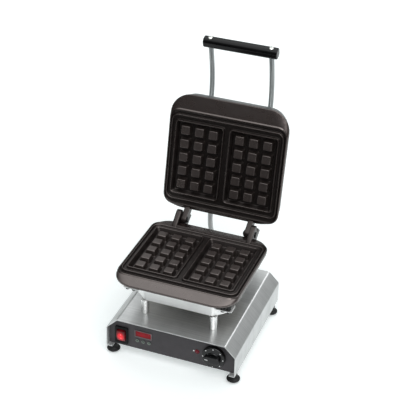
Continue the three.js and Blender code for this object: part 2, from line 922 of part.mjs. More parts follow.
function plateBody(lip_front, lip_back) {
  const lip = (inset, depth) =>
    ring(
      lip_half_width - inset,
      lip_front + inset,
      lip_back - inset,
      lip_corner - inset,
      -lip_front_depth - depth,
      -lip_back_depth - depth,
    );
  const root = skirt_root_inset;
  const rounded = (grow, depth, front, back, half, corner) =>
    ring(half + grow, front - grow, back + grow, corner + grow, -depth);
  const shoulder = (grow, depth) =>
    rounded(grow, depth, shoulder_front_y, shoulder_back_y, shoulder_half_width, shoulder_corner);
  const ridge = (grow, depth) =>
    rounded(grow, depth, ridge_front_y, ridge_back_y, ridge_half_width, ridge_corner);
  const outer_foot = ridge_width + ridge_slope;
  const body = loft([
    ring(skirt_half_width, skirt_front_y, skirt_back_y, skirt_corner, -skirt_depth),
    lip(root, lip_thickness + root / 2),
    lip(lip_round * 2, lip_thickness),
    lip(0, lip_thickness - lip_round * 2),
    lip(0, lip_round),
    lip(lip_round, 0),
    shoulder(shoulder_round, shoulder_depth + shoulder_round / 2),
    shoulder(0, shoulder_depth),
    ridge(outer_foot, groove_depth),
    ridge(ridge_width, ridge_depth + lip_round),
    ridge(0, ridge_depth),
  ]);
  const moat = loft([
    ridge(-ridge_width - ridge_slope, moat_depth),
    ridge(-ridge_width, ridge_depth),
    ridge(-ridge_width, ridge_depth - overrun),
  ]);
  const frames = [mouldFrame(-1), mouldFrame(1)];
  let plate = cut(body, moat);
  plate = join(plate, ...frames.map((frame) => frame.outer));
  plate = cut(plate, ...frames.map((frame) => frame.cavity));
  for (const side of [-1, 1]) {
    for (let column = 0; column < block_columns; column += 1) {
      for (let row = 0; row < block_rows; row += 1) {
        const x = side * mould_offset_x + (column - (block_columns - 1) / 2) * block_pitch_x;
        const y = mould_center_y + (row - (block_rows - 1) / 2) * block_pitch_y;
        plate = join(plate, blockShape(x, y));
      }
    }
  }
  const hollow = (grow, depth) =>
    ring(
      skirt_half_width - skirt_wall - grow,
      skirt_front_y + skirt_wall + grow,
      skirt_back_y - skirt_wall - grow,
      skirt_corner - skirt_wall,
      -depth,
    );
  const mouth = hollow(0, skirt_depth + overrun);
  const under = loft([mouth, hollow(0, skirt_depth), hollow(hollow_draft, hollow_depth)]);
  return cut(plate, under);
}

// Round ears under the lower plate's corners, with blind holes for the bolts
function earShapes() {
  return boltPlaces().map(([, x, y]) => bar(ear_radius, "z", -ear_depth, -hollow_depth, x, y, small_sides));
}

// The lower plate's rear lug reaches up past the pin, and carries the stop that the open lid leans on
function lowerLug(side) {
  const root_y = skirt_back_y - lug_root_overlap;
  const upright = hull([
    ...circlePoints(hinge_y, -hinge_drop, lug_radius),
    ...circlePoints(hinge_y, lower_lug_rise - hinge_drop, lug_radius),
    [hinge_y - lower_lug_reach, -groove_depth],
    [root_y, -skirt_depth],
    [hinge_y - lug_radius, -skirt_depth],
  ]);
  const outer = lower_lug_inner_x + lower_lug_width;
  const lug = prism(upright, "x", ...across(side, lower_lug_inner_x, outer));
  const stop_line = stopLine();
  const stop = [
    stop_line.near,
    stop_line.far,
    [stop_line.far[0] + stop_depth, stop_line.far[1] - stop_depth],
    [stop_line.near[0], -hinge_drop - lug_radius - stop_depth],
    [hinge_y - lug_radius, -skirt_depth],
    [hinge_y - lug_radius, -hinge_drop - lug_radius - gap],
    [hinge_y, -hinge_drop - lug_radius - gap],
  ];
  const toe = lower_lug_inner_x - lug_side_gap - upper_lug_width * stop_width_share;
  const pad = prism(stop, "x", ...across(side, toe, outer));
  const swing_ends = across(side, toe, lower_lug_inner_x);
  const swing = bar(lug_radius + slide_gap, "x", ...swing_ends, hinge_y, -hinge_drop);
  return join(lug, cut(pad, swing));
}

// The closed side view of the upper lug, in the same upright plate coordinates as the lower one
function upperLugOutline(grow = 0) {
  const root_y = upper_lip_back_y - lug_root_overlap;
  return hull([
    ...circlePoints(hinge_y, -hinge_drop, lug_radius + grow),
    [root_y - grow, upper_lug_root_depth - grow],
    [skirt_back_y - lug_root_overlap, upper_lug_top_depth],
    [root_y, upper_lug_top_depth],
  ]);
}

// Where the open upper lug's underside lies, moved away by the stop's clearance
function stopLine() {
  const swing = (y, z) => {
    const dy = y - hinge_y;
    const dz = z + hinge_drop;
    const c = Math.cos(open_angle);
    const s = Math.sin(open_angle);
    return [hinge_y + c * dy + s * dz, -hinge_drop - s * dy + c * dz];
  };
  const [far_y, far_z] = swing(upper_lip_back_y - lug_root_overlap, upper_lug_top_depth);
  const reach = Math.hypot(far_y - hinge_y, far_z + hinge_drop);
  const slope = Math.atan2(far_z + hinge_drop, far_y - hinge_y) + Math.asin(lug_radius / reach);
  const clear = lug_radius + slide_gap;
  const start = [hinge_y + clear * Math.sin(slope), -hinge_drop - clear * Math.cos(slope)];
  const run = [reach * Math.cos(slope), reach * Math.sin(slope)];
  const along = (share) => [start[0] + share * run[0], start[1] + share * run[1]];
  return { near: along(stop_near_share), far: along(stop_far_share) };
}

function pinBore(radius) {
  const far = lower_lug_inner_x + lower_lug_width + overrun;
  return bar(radius, "x", -far, far, hinge_y, -hinge_drop);
}

function addLowerPlate() {
  let plate = plateBody(lower_lip_front_y, lower_lip_back_y);
  for (const side of [-1, 1]) {
    plate = join(plate, lowerLug(side));
    const near = upper_lug_inner_x - lug_side_gap;
    const far = upper_lug_inner_x + upper_lug_width + lug_side_gap;
    plate = cut(plate, prism(upperLugOutline(slide_gap), "x", ...across(side, near, far)));
  }
  plate = join(plate, ...earShapes());
  const holes = boltPlaces().map(([, x, y]) =>
    bar(bolt_radius + gap, "z", -ear_depth - overrun, -ear_depth + bolt_length, x, y, small_sides),
  );
  plate = cut(plate, ...holes, pinBore(pin_radius + gap));
  add("lower_baking_plate", plate.translate(0, 0, parting_level), "cast");
}

function postPlaces() {
  return [-1, 1].flatMap((side) => [
    [side, "front", strap_front_y],
    [side, "rear", strap_back_y],
  ]);
}

function addUpperPlate() {
  let plate = plateBody(upper_lip_front_y, upper_lip_back_y);
  plate = plate.rotate([0, 180, 0]);
  const outline = upperLugOutline();
  for (const side of [-1, 1]) {
    const far = upper_lug_inner_x + upper_lug_width;
    plate = join(plate, prism(outline, "x", ...across(side, upper_lug_inner_x, far)));
  }
  const top = cover_height - cover_sheet - gap;
  const hole_foot = top - strap_screw_length;
  for (const [side, , y] of postPlaces()) {
    const x = side * strap_screw_x;
    const post = bar(post_radius, "z", hollow_depth - overrun, top, x, y, small_sides);
    const hole = bar(strap_screw_radius + gap, "z", hole_foot, top + overrun, x, y, small_sides);
    plate = cut(join(plate, post), hole);
  }
  plate = cut(plate, pinBore(pin_radius + gap)).translate(0, 0, parting_level);
  add("upper_baking_plate", plate, "cast", lid);
}

function addBolts() {
  const head_top = tab_level - gap;
  const head_foot = head_top - bolt_head_height;
  const tip = head_top + bolt_length - 2 * gap;
  for (const [name, x, y] of boltPlaces()) {
    const head = bar(bolt_head_radius, "z", head_foot, head_top, x, y, hex_sides);
    add(name, join(head, bar(bolt_radius, "z", head_top - gap, tip, x, y, small_sides)), "black");
  }
}

function addPins() {
  for (const [place, side] of [["left", -1], ["right", 1]]) {
    const outer = lower_lug_inner_x + lower_lug_width + gap;
    const inner = upper_lug_inner_x - pin_tail;
    const head_end = outer + pin_head_length;
    const shank = bar(pin_radius, "x", ...across(side, inner, outer), hinge_y, hinge_level);
    const head = bar(pin_head_radius, "x", ...across(side, outer, head_end), hinge_y, hinge_level);
    add(`hinge_pin_${place}`, join(shank, head), "bright");
    const clip_near = upper_lug_inner_x - slide_gap;
    const clip_far = clip_near - clip_thickness;
    const [low, high] = across(side, clip_near, clip_far);
    const disc = bar(clip_radius, "x", low, high, hinge_y, hinge_level);
    const bore = bar(pin_radius + gap, "x", low - overrun, high + overrun, hinge_y, hinge_level);
    add(`pin_clip_${place}`, cut(disc, bore), "steel");
  }
}

// Heating elements lie against the plates' hollow backs, on the lower or the upper side
function elementShape(side) {
  const level = parting_level + side * (hollow_depth + gap + element_radius);
  const at = (x, y) => new THREE.Vector3(x, y, level);
  const path = bentPath(
    [
      at(-element_outer_x, element_end_y),
      at(-element_outer_x, element_front_y),
      at(-element_inner_x, element_front_y),
      at(-element_inner_x, element_back_y),
      at(element_inner_x, element_back_y),
      at(element_inner_x, element_front_y),
      at(element_outer_x, element_front_y),
      at(element_outer_x, element_end_y),
    ],
    element_bend,
  );
  return tube(path, element_radius, wire_sides, element_steps);
}

// Cover on the back of the upper plate, drawn closed
function coverForm(inset) {
  const front_slant = cover_front_slant;
  const level = (inset_x, front, back, corner, depth, back_depth = depth) =>
    ring(
      cover_half_width - inset_x - inset,
      cover_front_y + front + inset,
      cover_back_y - back - inset,
      cover_corner - inset_x / 2 - inset,
      parting_level + depth,
      parting_level + back_depth,
    );
  const mouth = inset > 0 ? overrun : 0;
  const lower_half = (cover_slope_depth + cover_height) / 2;
  const top = cover_height - inset;
  const side = (share) => cover_side_slant + share * cover_top_inset;
  const bend_slant = cover_bend_slant_share * front_slant;
  return loft([
    level(0, 0, 0, 0, cover_rim_front_depth - mouth, cover_rim_back_depth - mouth),
    level(side(0), 0, 0, 0, cover_slope_depth),
    level(side(1 / 4), front_slant, 0, 0, lower_half),
    level(side(1 / 2), 2 * front_slant, cover_round / 2, 0, top - cover_round),
    level(side(cover_bend_share), bend_slant, cover_round, 0, top - cover_round / 4),
    level(side(1), 3 * front_slant, 2 * cover_round, 0, top),
  ]);
}

function addCover() {
  let cover = cut(coverForm(0), coverForm(cover_sheet));
  const holes = [];
  for (const [side, , y] of postPlaces()) {
    const low = cover_level - cover_sheet - overrun;
    const x = side * strap_screw_x;
    holes.push(bar(strap_screw_radius + gap, "z", low, cover_level + overrun, x, y, small_sides));
  }
  const hose_level = parting_level + hose_lid_depth;
  const hose_ends = [cover_back_y - cover_sheet - overrun, cover_back_y + overrun];
  holes.push(bar(hose_fitting_neck + gap, "y", ...hose_ends, hose_lid_x, hose_level, small_sides));
  for (const side of [-1, 1]) {
    const slot_near = upper_lug_inner_x - slide_gap;
    const [left, right] = across(side, slot_near, slot_near + upper_lug_width + 2 * slide_gap);
    const top = parting_level + upper_lug_top_depth + slide_gap;
    const start = cover_back_y - 2 * lug_root_overlap;
    holes.push(block(left, start, parting_level, right, cover_back_y + overrun, top));
  }
  add("upper_cover", cut(cover, ...holes), "steel", lid);
}

// Handle: two bent rods on the cover, a bar between their ends and two screws

function gripPoint(along, up = 0) {
  const y = grip_y + along * Math.cos(grip_tilt) - up * Math.sin(grip_tilt);
  const z = grip_level + along * Math.sin(grip_tilt) + up * Math.cos(grip_tilt);
  return [y, z];
}

function slantedBar(radius, x, from, to, sides = small_sides) {
  const round = new THREE.CylinderGeometry(radius, radius, to - from, sides);
  round.translate(0, (from + to) / 2, 0);
  round.rotateX(grip_tilt);
  return solid(round.translate(x, grip_y, grip_level));
}

function rodCurve(x) {
  const start_along = grip_thickness / 2 - grip_socket_depth + gap;
  const [start_y, start_z] = gripPoint(start_along);
  const [pull_y, pull_z] = gripPoint(start_along + rod_handle_pull);
  const path = new THREE.CurvePath();
  const flat = new THREE.Vector3(x, rod_flat_y, rod_level);
  path.add(
    new THREE.CubicBezierCurve3(
      new THREE.Vector3(x, start_y, start_z),
      new THREE.Vector3(x, pull_y, pull_z),
      new THREE.Vector3(x, rod_flat_y - rod_cover_pull, rod_level),
      flat,
    ),
  );
  path.add(new THREE.LineCurve3(flat, new THREE.Vector3(x, rod_end_y, rod_level)));
  return path;
}

function addHandle() {
  const half = grip_thickness / 2;
  const reach = half - grip_socket_depth;
  const across_width = grip_thickness - 2 * grip_bevel;
  const across_height = grip_height - 2 * grip_bevel;
  const section = roundedShape(across_width, across_height, grip_corner - grip_bevel);
  const drawn = new THREE.ExtrudeGeometry(section, {
    depth: 2 * (grip_half_length - grip_bevel),
    bevelThickness: grip_bevel,
    bevelSize: grip_bevel,
    bevelSegments: 2,
    curveSegments: outline_steps,
  });
  drawn.translate(0, 0, -(grip_half_length - grip_bevel));
  const turn = new THREE.Matrix4().set(0, 0, 1, 0, 1, 0, 0, 0, 0, 1, 0, 0, 0, 0, 0, 1);
  drawn.applyMatrix4(turn).rotateX(grip_tilt).translate(0, grip_y, grip_level);
  let grip = solid(drawn);
  for (const [place, side] of [["left", -1], ["right", 1]]) {
    const x = side * rod_offset_x;
    grip = cut(grip, slantedBar(rod_radius + slide_gap, x, reach, half + overrun));
    grip = cut(grip, slantedBar(handle_screw_radius + gap, x, -half - overrun, reach + overrun));
    const rod = tube(rodCurve(x), rod_radius, small_sides, rod_steps);
    const bore_end = reach + gap + handle_screw_reach;
    const rod_bore = slantedBar(handle_screw_radius + gap, x, reach, bore_end);
    add(`handle_rod_${place}`, cut(rod, rod_bore), "steel", lid);
    const seat = -half - gap;
    const head_foot = seat - handle_screw_head_height;
    const head = slantedBar(handle_screw_head_radius, x, head_foot, seat, round_sides);
    const shank = slantedBar(handle_screw_radius, x, seat - gap, bore_end - slide_gap);
    add(`handle_screw_${place}`, join(head, shank), "bright", lid);
  }
  add("handle_grip", grip, "black", lid);
}

function addStraps() {
  const low = cover_level + gap;
  const saddle = rod_radius + slide_gap + strap_sheet;
  for (const [place, y] of [["front", strap_front_y], ["rear", strap_back_y]]) {
    const start = y - strap_length / 2;
    const end = y + strap_length / 2;
    let strap = block(-strap_half_width, start, low, strap_half_width, end, low + strap_sheet);
    for (const side of [-1, 1]) {
      const x = side * rod_offset_x;
      const hump = bar(saddle, "y", start, end, x, rod_level);
      const wide = 2 * saddle;
      const below = block(x - wide, start - overrun, low - wide, x + wide, end + overrun, low);
      strap = join(strap, cut(hump, below));
    }
    for (const side of [-1, 1]) {
      const x = side * rod_offset_x;
      const rod_half = rod_radius + slide_gap;
      const near = start - overrun;
      const far = end + overrun;
      const under = block(x - rod_half, near, low - overrun, x + rod_half, far, rod_level);
      strap = cut(strap, bar(rod_half, "y", near, far, x, rod_level), under);
      const screw_x = side * strap_screw_x;
      const hole_top = low + strap_sheet + overrun;
      const hole = bar(strap_screw_radius + gap, "z", low - overrun, hole_top, screw_x, y, small_sides);
      strap = cut(strap, hole);
      const seat = low + strap_sheet + gap;
      const head_top = seat + strap_screw_head_height;
      const head = bar(strap_screw_head_radius, "z", seat, head_top, screw_x, y, small_sides);
      const shank_foot = seat - strap_screw_length;
      const shank = bar(strap_screw_radius, "z", shank_foot, seat + gap, screw_x, y, small_sides);
      add(`strap_screw_${place}_${side < 0 ? "left" : "right"}`, join(head, shank), "bright", lid);
    }
    add(`rod_strap_${place}`, strap, "steel", lid);
  }
}

// Hose between the rear panel and the lid, with a fitting at each end

function fittingProfile(wall) {
  const flange = gap;
  return [
    [hose_fitting_bore, -wall - gap - hose_fitting_tail],
    [hose_fitting_neck, -wall - gap - hose_fitting_tail],
    [hose_fitting_neck, flange],
    [hose_lock_radius, flange],
    [hose_lock_radius, flange + hose_lock_length],
    [hose_fitting_radius, flange + hose_lock_length],
    [hose_radius + gap, hose_fitting_length],
    [hose_fitting_bore, hose_fitting_length],
    [hose_fitting_bore, -wall - gap - hose_fitting_tail],
  ];
}

function addHose() {
  const base = turned(fittingProfile(panel_sheet), small_sides).rotateX(-Math.PI / 2);
  add("hose_fitting_base", solid(base.translate(hose_base_x, back_panel_y, hose_base_level)), "bright");
  const lid_level = parting_level + hose_lid_depth;
  const top = turned(fittingProfile(cover_sheet), small_sides).rotateX(-Math.PI / 2);
  add("hose_fitting_lid", solid(top.translate(hose_lid_x, cover_back_y, lid_level)), "bright", lid);
  const start_y = back_panel_y + hose_fitting_length + gap;
  const start = new THREE.Vector3(hose_base_x, start_y, hose_base_level);
  lid.updateMatrixWorld();
  const mouth_y = cover_back_y + hose_fitting_length + gap - hinge_y;
  const mouth = new THREE.Vector3(hose_lid_x, mouth_y, lid_level - hinge_level);
  const end = mouth.clone().applyMatrix4(lid.matrix);
  const out = new THREE.Vector3(0, 1, 0).transformDirection(lid.matrix);
  const low_pull = new THREE.Vector3(0, hose_base_pull, 0);
  const curve = new THREE.CubicBezierCurve3(
    start,
    start.clone().add(low_pull),
    end.clone().addScaledVector(out, hose_lid_pull),
    end,
  );
  add("lid_hose", tube(curve, hose_radius, small_sides, hose_steps), "grey");
}

// Controls

function addSwitch() {
  const z = foot_height + switch_height;
  const front = panel_y - gap - bezel_stand;
  const rim_shape = roundedShape(bezel_width, bezel_length, bezel_corner, switch_x, z);
  const rim = prism(rim_shape, "y", front, panel_y - gap);
  const body_width = bezel_opening_width + 2 * bezel_body_wall;
  const body_length = bezel_opening_length + 2 * bezel_body_wall;
  const body_end = panel_y + bezel_body_depth;
  const body_shape = roundedShape(body_width, body_length, bezel_body_wall, switch_x, z);
  const body = prism(body_shape, "y", front, body_end);
  const opening_end = body_end - bezel_body_wall;
  const opening = prism(
    roundedShape(bezel_opening_width, bezel_opening_length, bezel_body_wall / 2, switch_x, z),
    "y",
    front - overrun,
    opening_end,
  );
  add("switch_bezel", cut(join(rim, body), opening), "black");
  const half = rocker_length / 2;
  const pivot_y = front + rocker_pivot_depth;
  const outline = new THREE.Shape([
    new THREE.Vector2(rocker_back, -half * rocker_back_share),
    new THREE.Vector2(rocker_back, half * rocker_back_share),
    new THREE.Vector2(0, half),
    new THREE.Vector2(-rocker_edge, half),
    new THREE.Vector2(-rocker_crown, 0),
    new THREE.Vector2(-rocker_edge, -half),
    new THREE.Vector2(0, -half),
  ]);
  const drawn = new THREE.ExtrudeGeometry(outline, { depth: rocker_width, bevelEnabled: false });
  const turn = new THREE.Matrix4().set(0, 0, 1, -rocker_width / 2, 1, 0, 0, 0, 0, 1, 0, 0, 0, 0, 0, 1);
  drawn.applyMatrix4(turn).rotateX(THREE.MathUtils.degToRad(rocker_degrees));
  add("switch_rocker", solid(drawn.translate(switch_x, pivot_y, z)), "red");
}

function addDisplay() {
  const z = foot_height + display_height;
  const front = panel_y - gap - display_stand;
  const rim_shape = roundedShape(display_width, display_length, bezel_corner, display_x, z);
  const rim = prism(rim_shape, "y", front, panel_y - gap);
  const inner_width = display_width - 2 * display_border;
  const inner_length = display_length - 2 * display_border;
  const end = panel_y + panel_sheet + display_flange;
  const neck_shape = roundedShape(inner_width, inner_length, bezel_body_wall, display_x, z);
  const neck = prism(neck_shape, "y", front, end);
  const shelf = window_inset + window_thickness + gap;
  const seat_width = inner_width - 2 * bezel_body_wall;
  const seat_length = inner_length - 2 * bezel_body_wall;
  const clear_width = seat_width - 2 * window_inset;
  const clear_length = seat_length - 2 * window_inset;
  const clear_shape = roundedShape(clear_width, clear_length, window_inset, display_x, z);
  const through = prism(clear_shape, "y", front - overrun, end + overrun);
  const seat_shape = roundedShape(seat_width, seat_length, window_inset, display_x, z);
  const seat = prism(seat_shape, "y", front - overrun, front + shelf);
  add("display_frame", cut(join(rim, neck), through, seat), "grey");
  const window_front = front + window_inset;
  const window_width = seat_width - 2 * gap;
  const window_length = seat_length - 2 * gap;
  const window_shape = roundedShape(window_width, window_length, window_inset, display_x, z);
  const window = prism(window_shape, "y", window_front, window_front + window_thickness);
  add("display_window", window, "dark_red");
  const board_y = panel_y + panel_sheet + board_depth;
  const board_z = foot_height + board_center_height;
  const board = block(
    display_x - board_width / 2,
    board_y,
    board_z - board_height / 2,
    display_x + board_width / 2,
    board_y + board_thickness,
    board_z + board_height / 2,
  );
  const standoffs = [-1, 1].flatMap((u) =>
    [-1, 1].map((v) => {
      const x = display_x + u * (board_width / 2 - button_radius);
      const post_z = board_z + v * (board_height / 2 - button_radius);
      const post_start = panel_y + panel_sheet + gap;
      return bar(button_radius / 2, "y", post_start, board_y + gap, x, post_z, wire_sides);
    }),
  );
  add("timer_board", join(board, ...standoffs), "board");
  const low = panel_y - button_stand;
  const flange_y = panel_y + panel_sheet + gap;
  for (let i = 0; i < button_count; i += 1) {
    const x = display_x + (i - (button_count - 1) / 2) * button_pitch;
    const button_z = foot_height + button_center_height;
    const flange_end = flange_y + button_flange_thickness;
    const cap = bar(button_radius, "y", low, flange_end, x, button_z, small_sides);
    const flange_radius = button_radius + button_flange;
    const flange = bar(flange_radius, "y", flange_y, flange_end, x, button_z, small_sides);
    const stem_end = board_y - gap - button_travel;
    const stem = bar(button_radius / 2, "y", flange_y, stem_end, x, button_z, wire_sides);
    add(`timer_button_${i + 1}`, join(cap, flange, stem), "black");
  }
}

function addLamp() {
  const rim = lamp_radius + lamp_rim;
  const profile = [
    [0, lamp_stand],
    [lamp_radius * lamp_crown_share, lamp_stand * lamp_crown_height_share],
    [lamp_radius, lamp_rim_thickness + gap],
    [rim, lamp_rim_thickness + gap],
    [rim, gap],
    [lamp_radius, gap],
    [lamp_radius, -lamp_tail],
    [0, -lamp_tail],
  ];
  const lamp = turned(profile, small_sides).rotateX(Math.PI / 2);
  add("indicator_lamp", solid(lamp.translate(lamp_x, panel_y, foot_height + lamp_height)), "dark_red");
}

function addThermostat() {
  const z = foot_height + knob_height;
  const bush_end = -thermostat_bush_length + panel_sheet;
  const behind = panel_y + panel_sheet + gap;
  const half = thermostat_width / 2;
  const back = behind + thermostat_depth;
  const body = block(knob_x - half, behind, z - half, knob_x + half, back, z + half);
  const bush_y = panel_y + bush_end;
  const bush = bar(thermostat_bush_radius, "y", bush_y, behind + gap, knob_x, z, small_sides);
  const shaft_end = behind + thermostat_depth / 2;
  const bore_ends = [bush_y - overrun, shaft_end + gap];
  const shaft_bore = bar(shaft_radius + gap, "y", ...bore_ends, knob_x, z, small_sides);
  add("thermostat_body", cut(join(body, bush), shaft_bore), "ceramic");
  const skirt_back = panel_y - slide_gap;
  const knob_front = skirt_back - knob_length;
  const shaft_tip = knob_front + knob_length - knob_bore_depth + gap;
  const shaft = bar(shaft_radius, "y", shaft_tip, shaft_end, knob_x, z, small_sides);
  add("thermostat_shaft", shaft, "bright");
  const body_front = knob_length - knob_grip_depth;
  const edge = knob_skirt_edge;
  const profile = [
    [0, 0],
    [knob_skirt_radius, 0],
    [knob_skirt_radius, knob_skirt_thickness - edge],
    [knob_skirt_radius - edge, knob_skirt_thickness],
    [knob_body_radius + edge, knob_skirt_thickness + edge],
    [knob_body_radius, body_front],
    [0, body_front],
  ];
  const skirt = solid(turned(profile, knob_sides).rotateX(Math.PI / 2).translate(knob_x, skirt_back, z));
  const grip_shape = roundedShape(knob_grip_length, knob_grip_width, knob_grip_width / 2, knob_x, z);
  const grip = prism(grip_shape, "y", knob_front, skirt_back - knob_skirt_thickness / 2);
  const pocket_radius = thermostat_bush_radius + gap;
  const pocket = bar(pocket_radius, "y", bush_y - gap, panel_y, knob_x, z, small_sides);
  const bore = bar(shaft_radius + gap, "y", shaft_tip - gap, panel_y, knob_x, z, small_sides);
  add("thermostat_knob", cut(join(skirt, grip), pocket, bore), "black");
}

// The probe's bulb lies under the lower plate. Its thin tube runs down the sleeve to the thermostat.
function addProbe() {
  const level = parting_level - hollow_depth - gap - bulb_radius;
  const start_y = capillary_route[0][1];
  const bulb = bar(bulb_radius, "y", start_y - bulb_length, start_y + gap, 0, level, small_sides);
  const points = capillary_route.map((point) => new THREE.Vector3(...point));
  const curve = new THREE.CatmullRomCurve3(points, false, "centripetal");
  const capillary = tube(curve, capillary_radius, wire_sides, capillary_steps);
  add("thermostat_probe", join(bulb, capillary), "copper");
}

function addTerminals() {
  const makeBlock = (x, y, z) => {
    const half = terminal_width / 2;
    const back = y + terminal_depth;
    const top = z + terminal_height;
    const lower = block(x - half, y, z, x + half, back, top - terminal_step);
    const upper = block(x - half, y + terminal_step, z, x + half, back - terminal_step, top);
    let whole = join(lower, upper);
    for (const way of [-2, -1, 0, 1, 2]) {
      const way_z = z + terminal_height / 3;
      const way_x = x + way * terminal_way_pitch;
      const bore = bar(terminal_way_radius, "y", y - overrun, back + overrun, way_x, way_z, wire_sides);
      whole = cut(whole, bore);
    }
    return whole;
  };
  const floor = foot_height + base_sheet + gap + bottom_sheet + gap;
  add("terminal_block", makeBlock(gland_x, terminal_y, floor), "ceramic");
  const back = parting_level + hollow_depth + gap;
  add("lid_terminal_block", makeBlock(0, lid_terminal_y, back), "ceramic", lid);
}

function addGland() {
  const profile = [
    [gland_bore, -panel_sheet - gland_tail],
    [gland_radius, -panel_sheet - gland_tail],
    [gland_radius, gap],
    [gland_nut_radius, gap],
    [gland_nut_radius, gap + gland_nut_length],
    [gland_radius, gap + gland_nut_length],
    [gland_bore + gland_nut_length / 2, gland_length],
    [gland_bore, gland_length],
    [gland_bore, -panel_sheet - gland_tail],
  ];
  const gland = turned(profile, small_sides).rotateX(-Math.PI / 2);
  add("cable_gland", solid(gland.translate(gland_x, back_panel_y, foot_height + gland_height)), "black");
}

addHousing();
addBottom();
addFeet();
addFrontPanel();
addRearPanel();
addPillars();
addSleeve();
addTray();
addLowerPlate();
addBolts();
add("lower_heating_element", elementShape(-1), "copper");
addPins();
addUpperPlate();
add("upper_heating_element", elementShape(1), "copper", lid);
addCover();
addHandle();
addStraps();
addHose();
addSwitch();
addDisplay();
addLamp();
addThermostat();
addProbe();
addTerminals();
addGland();

// The origin is the middle of the whole machine's footprint, on the surface it stands on
const span = new THREE.Box3().setFromObject(machine, true);
machine.position.y = -(span.min.y + span.max.y) / 2;

export default machine;
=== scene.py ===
# %% [markdown]
# # A double waffle maker, finished in Blender
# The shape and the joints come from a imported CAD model, the frame. This lesson dresses that
# frame: most pieces are made again with rounded edges, and each gets a material that starts
# from what the real surface is. All lengths in the text are millimetres, and Blender's are metres.

# %% Load the frame
from math import asin, atan2, cos, dist, hypot, pi, radians, sin, sqrt, tan
import bmesh
import bpy
from mathutils import Matrix, Vector
from mathutils.geometry import convex_hull_2d


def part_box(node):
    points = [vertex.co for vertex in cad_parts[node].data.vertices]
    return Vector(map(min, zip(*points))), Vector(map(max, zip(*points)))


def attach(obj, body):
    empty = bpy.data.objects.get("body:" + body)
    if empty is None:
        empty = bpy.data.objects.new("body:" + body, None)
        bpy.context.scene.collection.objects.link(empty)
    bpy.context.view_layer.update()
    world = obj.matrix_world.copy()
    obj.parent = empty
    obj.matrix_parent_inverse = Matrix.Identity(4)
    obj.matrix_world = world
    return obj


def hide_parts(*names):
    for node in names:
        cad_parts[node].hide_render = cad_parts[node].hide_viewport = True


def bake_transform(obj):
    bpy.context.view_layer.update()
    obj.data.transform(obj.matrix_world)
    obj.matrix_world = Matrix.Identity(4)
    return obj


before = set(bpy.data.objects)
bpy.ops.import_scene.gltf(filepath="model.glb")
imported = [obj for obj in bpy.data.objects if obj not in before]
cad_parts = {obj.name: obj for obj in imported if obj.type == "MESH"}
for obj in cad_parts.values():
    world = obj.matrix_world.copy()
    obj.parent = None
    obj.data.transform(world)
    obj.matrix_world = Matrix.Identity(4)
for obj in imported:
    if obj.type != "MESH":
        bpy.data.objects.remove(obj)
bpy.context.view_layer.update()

# %% [markdown]
# ## The camera
# The camera comes first, because every look at the model is judged through it. Its place was
# found by fitting a pinhole camera to the machine's straight edges. It stands in front, to the
# right and above, far enough away that the edges converge only a little, and it is rolled by
# not quite two degrees.

# %% Camera
camera_place = Vector((0.7626, -2.1716, 1.6950))
camera_target = Vector((-0.01291, -0.00812, 0.31729))
camera_roll = radians(1.77)
sensor_width, focal_length = 36, 110.35


def add_object(name, data):
    """Puts a new object into the scene."""
    made = bpy.data.objects.new(name, data)
    bpy.context.scene.collection.objects.link(made)
    return made


camera = add_object("camera", bpy.data.cameras.new("camera"))
back = (camera_place - camera_target).normalized()
level_right = Vector((0, 0, 1)).cross(back).normalized()
level_up = back.cross(level_right)
right = level_right * cos(camera_roll) + level_up * sin(camera_roll)
up = back.cross(right)
turn = Matrix((right, up, back)).transposed().to_4x4()
camera.matrix_world = Matrix.Translation(camera_place) @ turn
camera.data.sensor_width = sensor_width
camera.data.lens = focal_length
bpy.context.scene.camera = camera
bpy.context.scene.view_settings.view_transform = "Standard"
print("camera stands", round((camera_place - camera_target).length, 3), "m away")

# %% [markdown]
# ## Drawing in millimetres
# The pieces are drawn as the workshop would measure them: y is 0 at the front edge of the base
# and z is 0 on the worktop. The lid is drawn closed, where its baking plate is level, and then
# swung open about the hinge by the angle at which it rests on its stops.

# %% From drawing to frame
MM = 0.001
front_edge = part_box("base_housing")[0].y
hinge_y, hinge_z = 276, 208
open_angle = radians(100.5)


def stand(point):
    """A drawn point in millimetres as a point of the frame in metres."""
    x, y, z = point
    return Vector((x * MM, y * MM + front_edge, z * MM))


def opened(y, z, axis_z):
    """A point of the closed lid, seen from the side, where it is once the lid is open."""
    dy, dz = y - hinge_y, z - axis_z
    c, s = cos(open_angle), sin(open_angle)
    return hinge_y + c * dy + s * dz, axis_z - s * dy + c * dz


def swing(point):
    """The same as stand for a piece of the lid, which is drawn closed and stands open."""
    x, y, z = point
    return stand((x, *opened(y, z, hinge_z)))


print("hinge axis at", tuple(round(v, 4) for v in stand((0, hinge_y, hinge_z))))

# %% [markdown]
# ## Shapes as rings
# Almost everything here is folded, turned, cast or bent, so four ways to make a mesh are enough:
# a loft through rings, an outline drawn out straight, a turned profile and a tube along a path.
# The last three are lofts as well. A part is a pair of point and face lists.


# %% Lofts
def loft(rings, closed_ends=(True, True)):
    """Faces between rings of equal count, with flat ends where asked."""
    count = len(rings[0])
    points = [tuple(point) for ring_points in rings for point in ring_points]
    faces = []
    for level in range(len(rings) - 1):
        for step in range(count):
            a = level * count + step
            b = level * count + (step + 1) % count
            faces.append((a, b, b + count, a + count))
    if closed_ends[0]:
        faces.append(tuple(reversed(range(count))))
    if closed_ends[1]:
        faces.append(tuple(range(len(points) - count, len(points))))
    return points, faces


def moved(part, matrix):
    """The same part in another place."""
    points, faces = part
    return [tuple(matrix @ Vector(point)) for point in points], faces


square = [(0, 0), (1, 0), (1, 1), (0, 1)]
box = loft([[(x, y, level) for x, y in square] for level in (0, 1)])
print("a box as a loft has", len(box[1]), "faces")


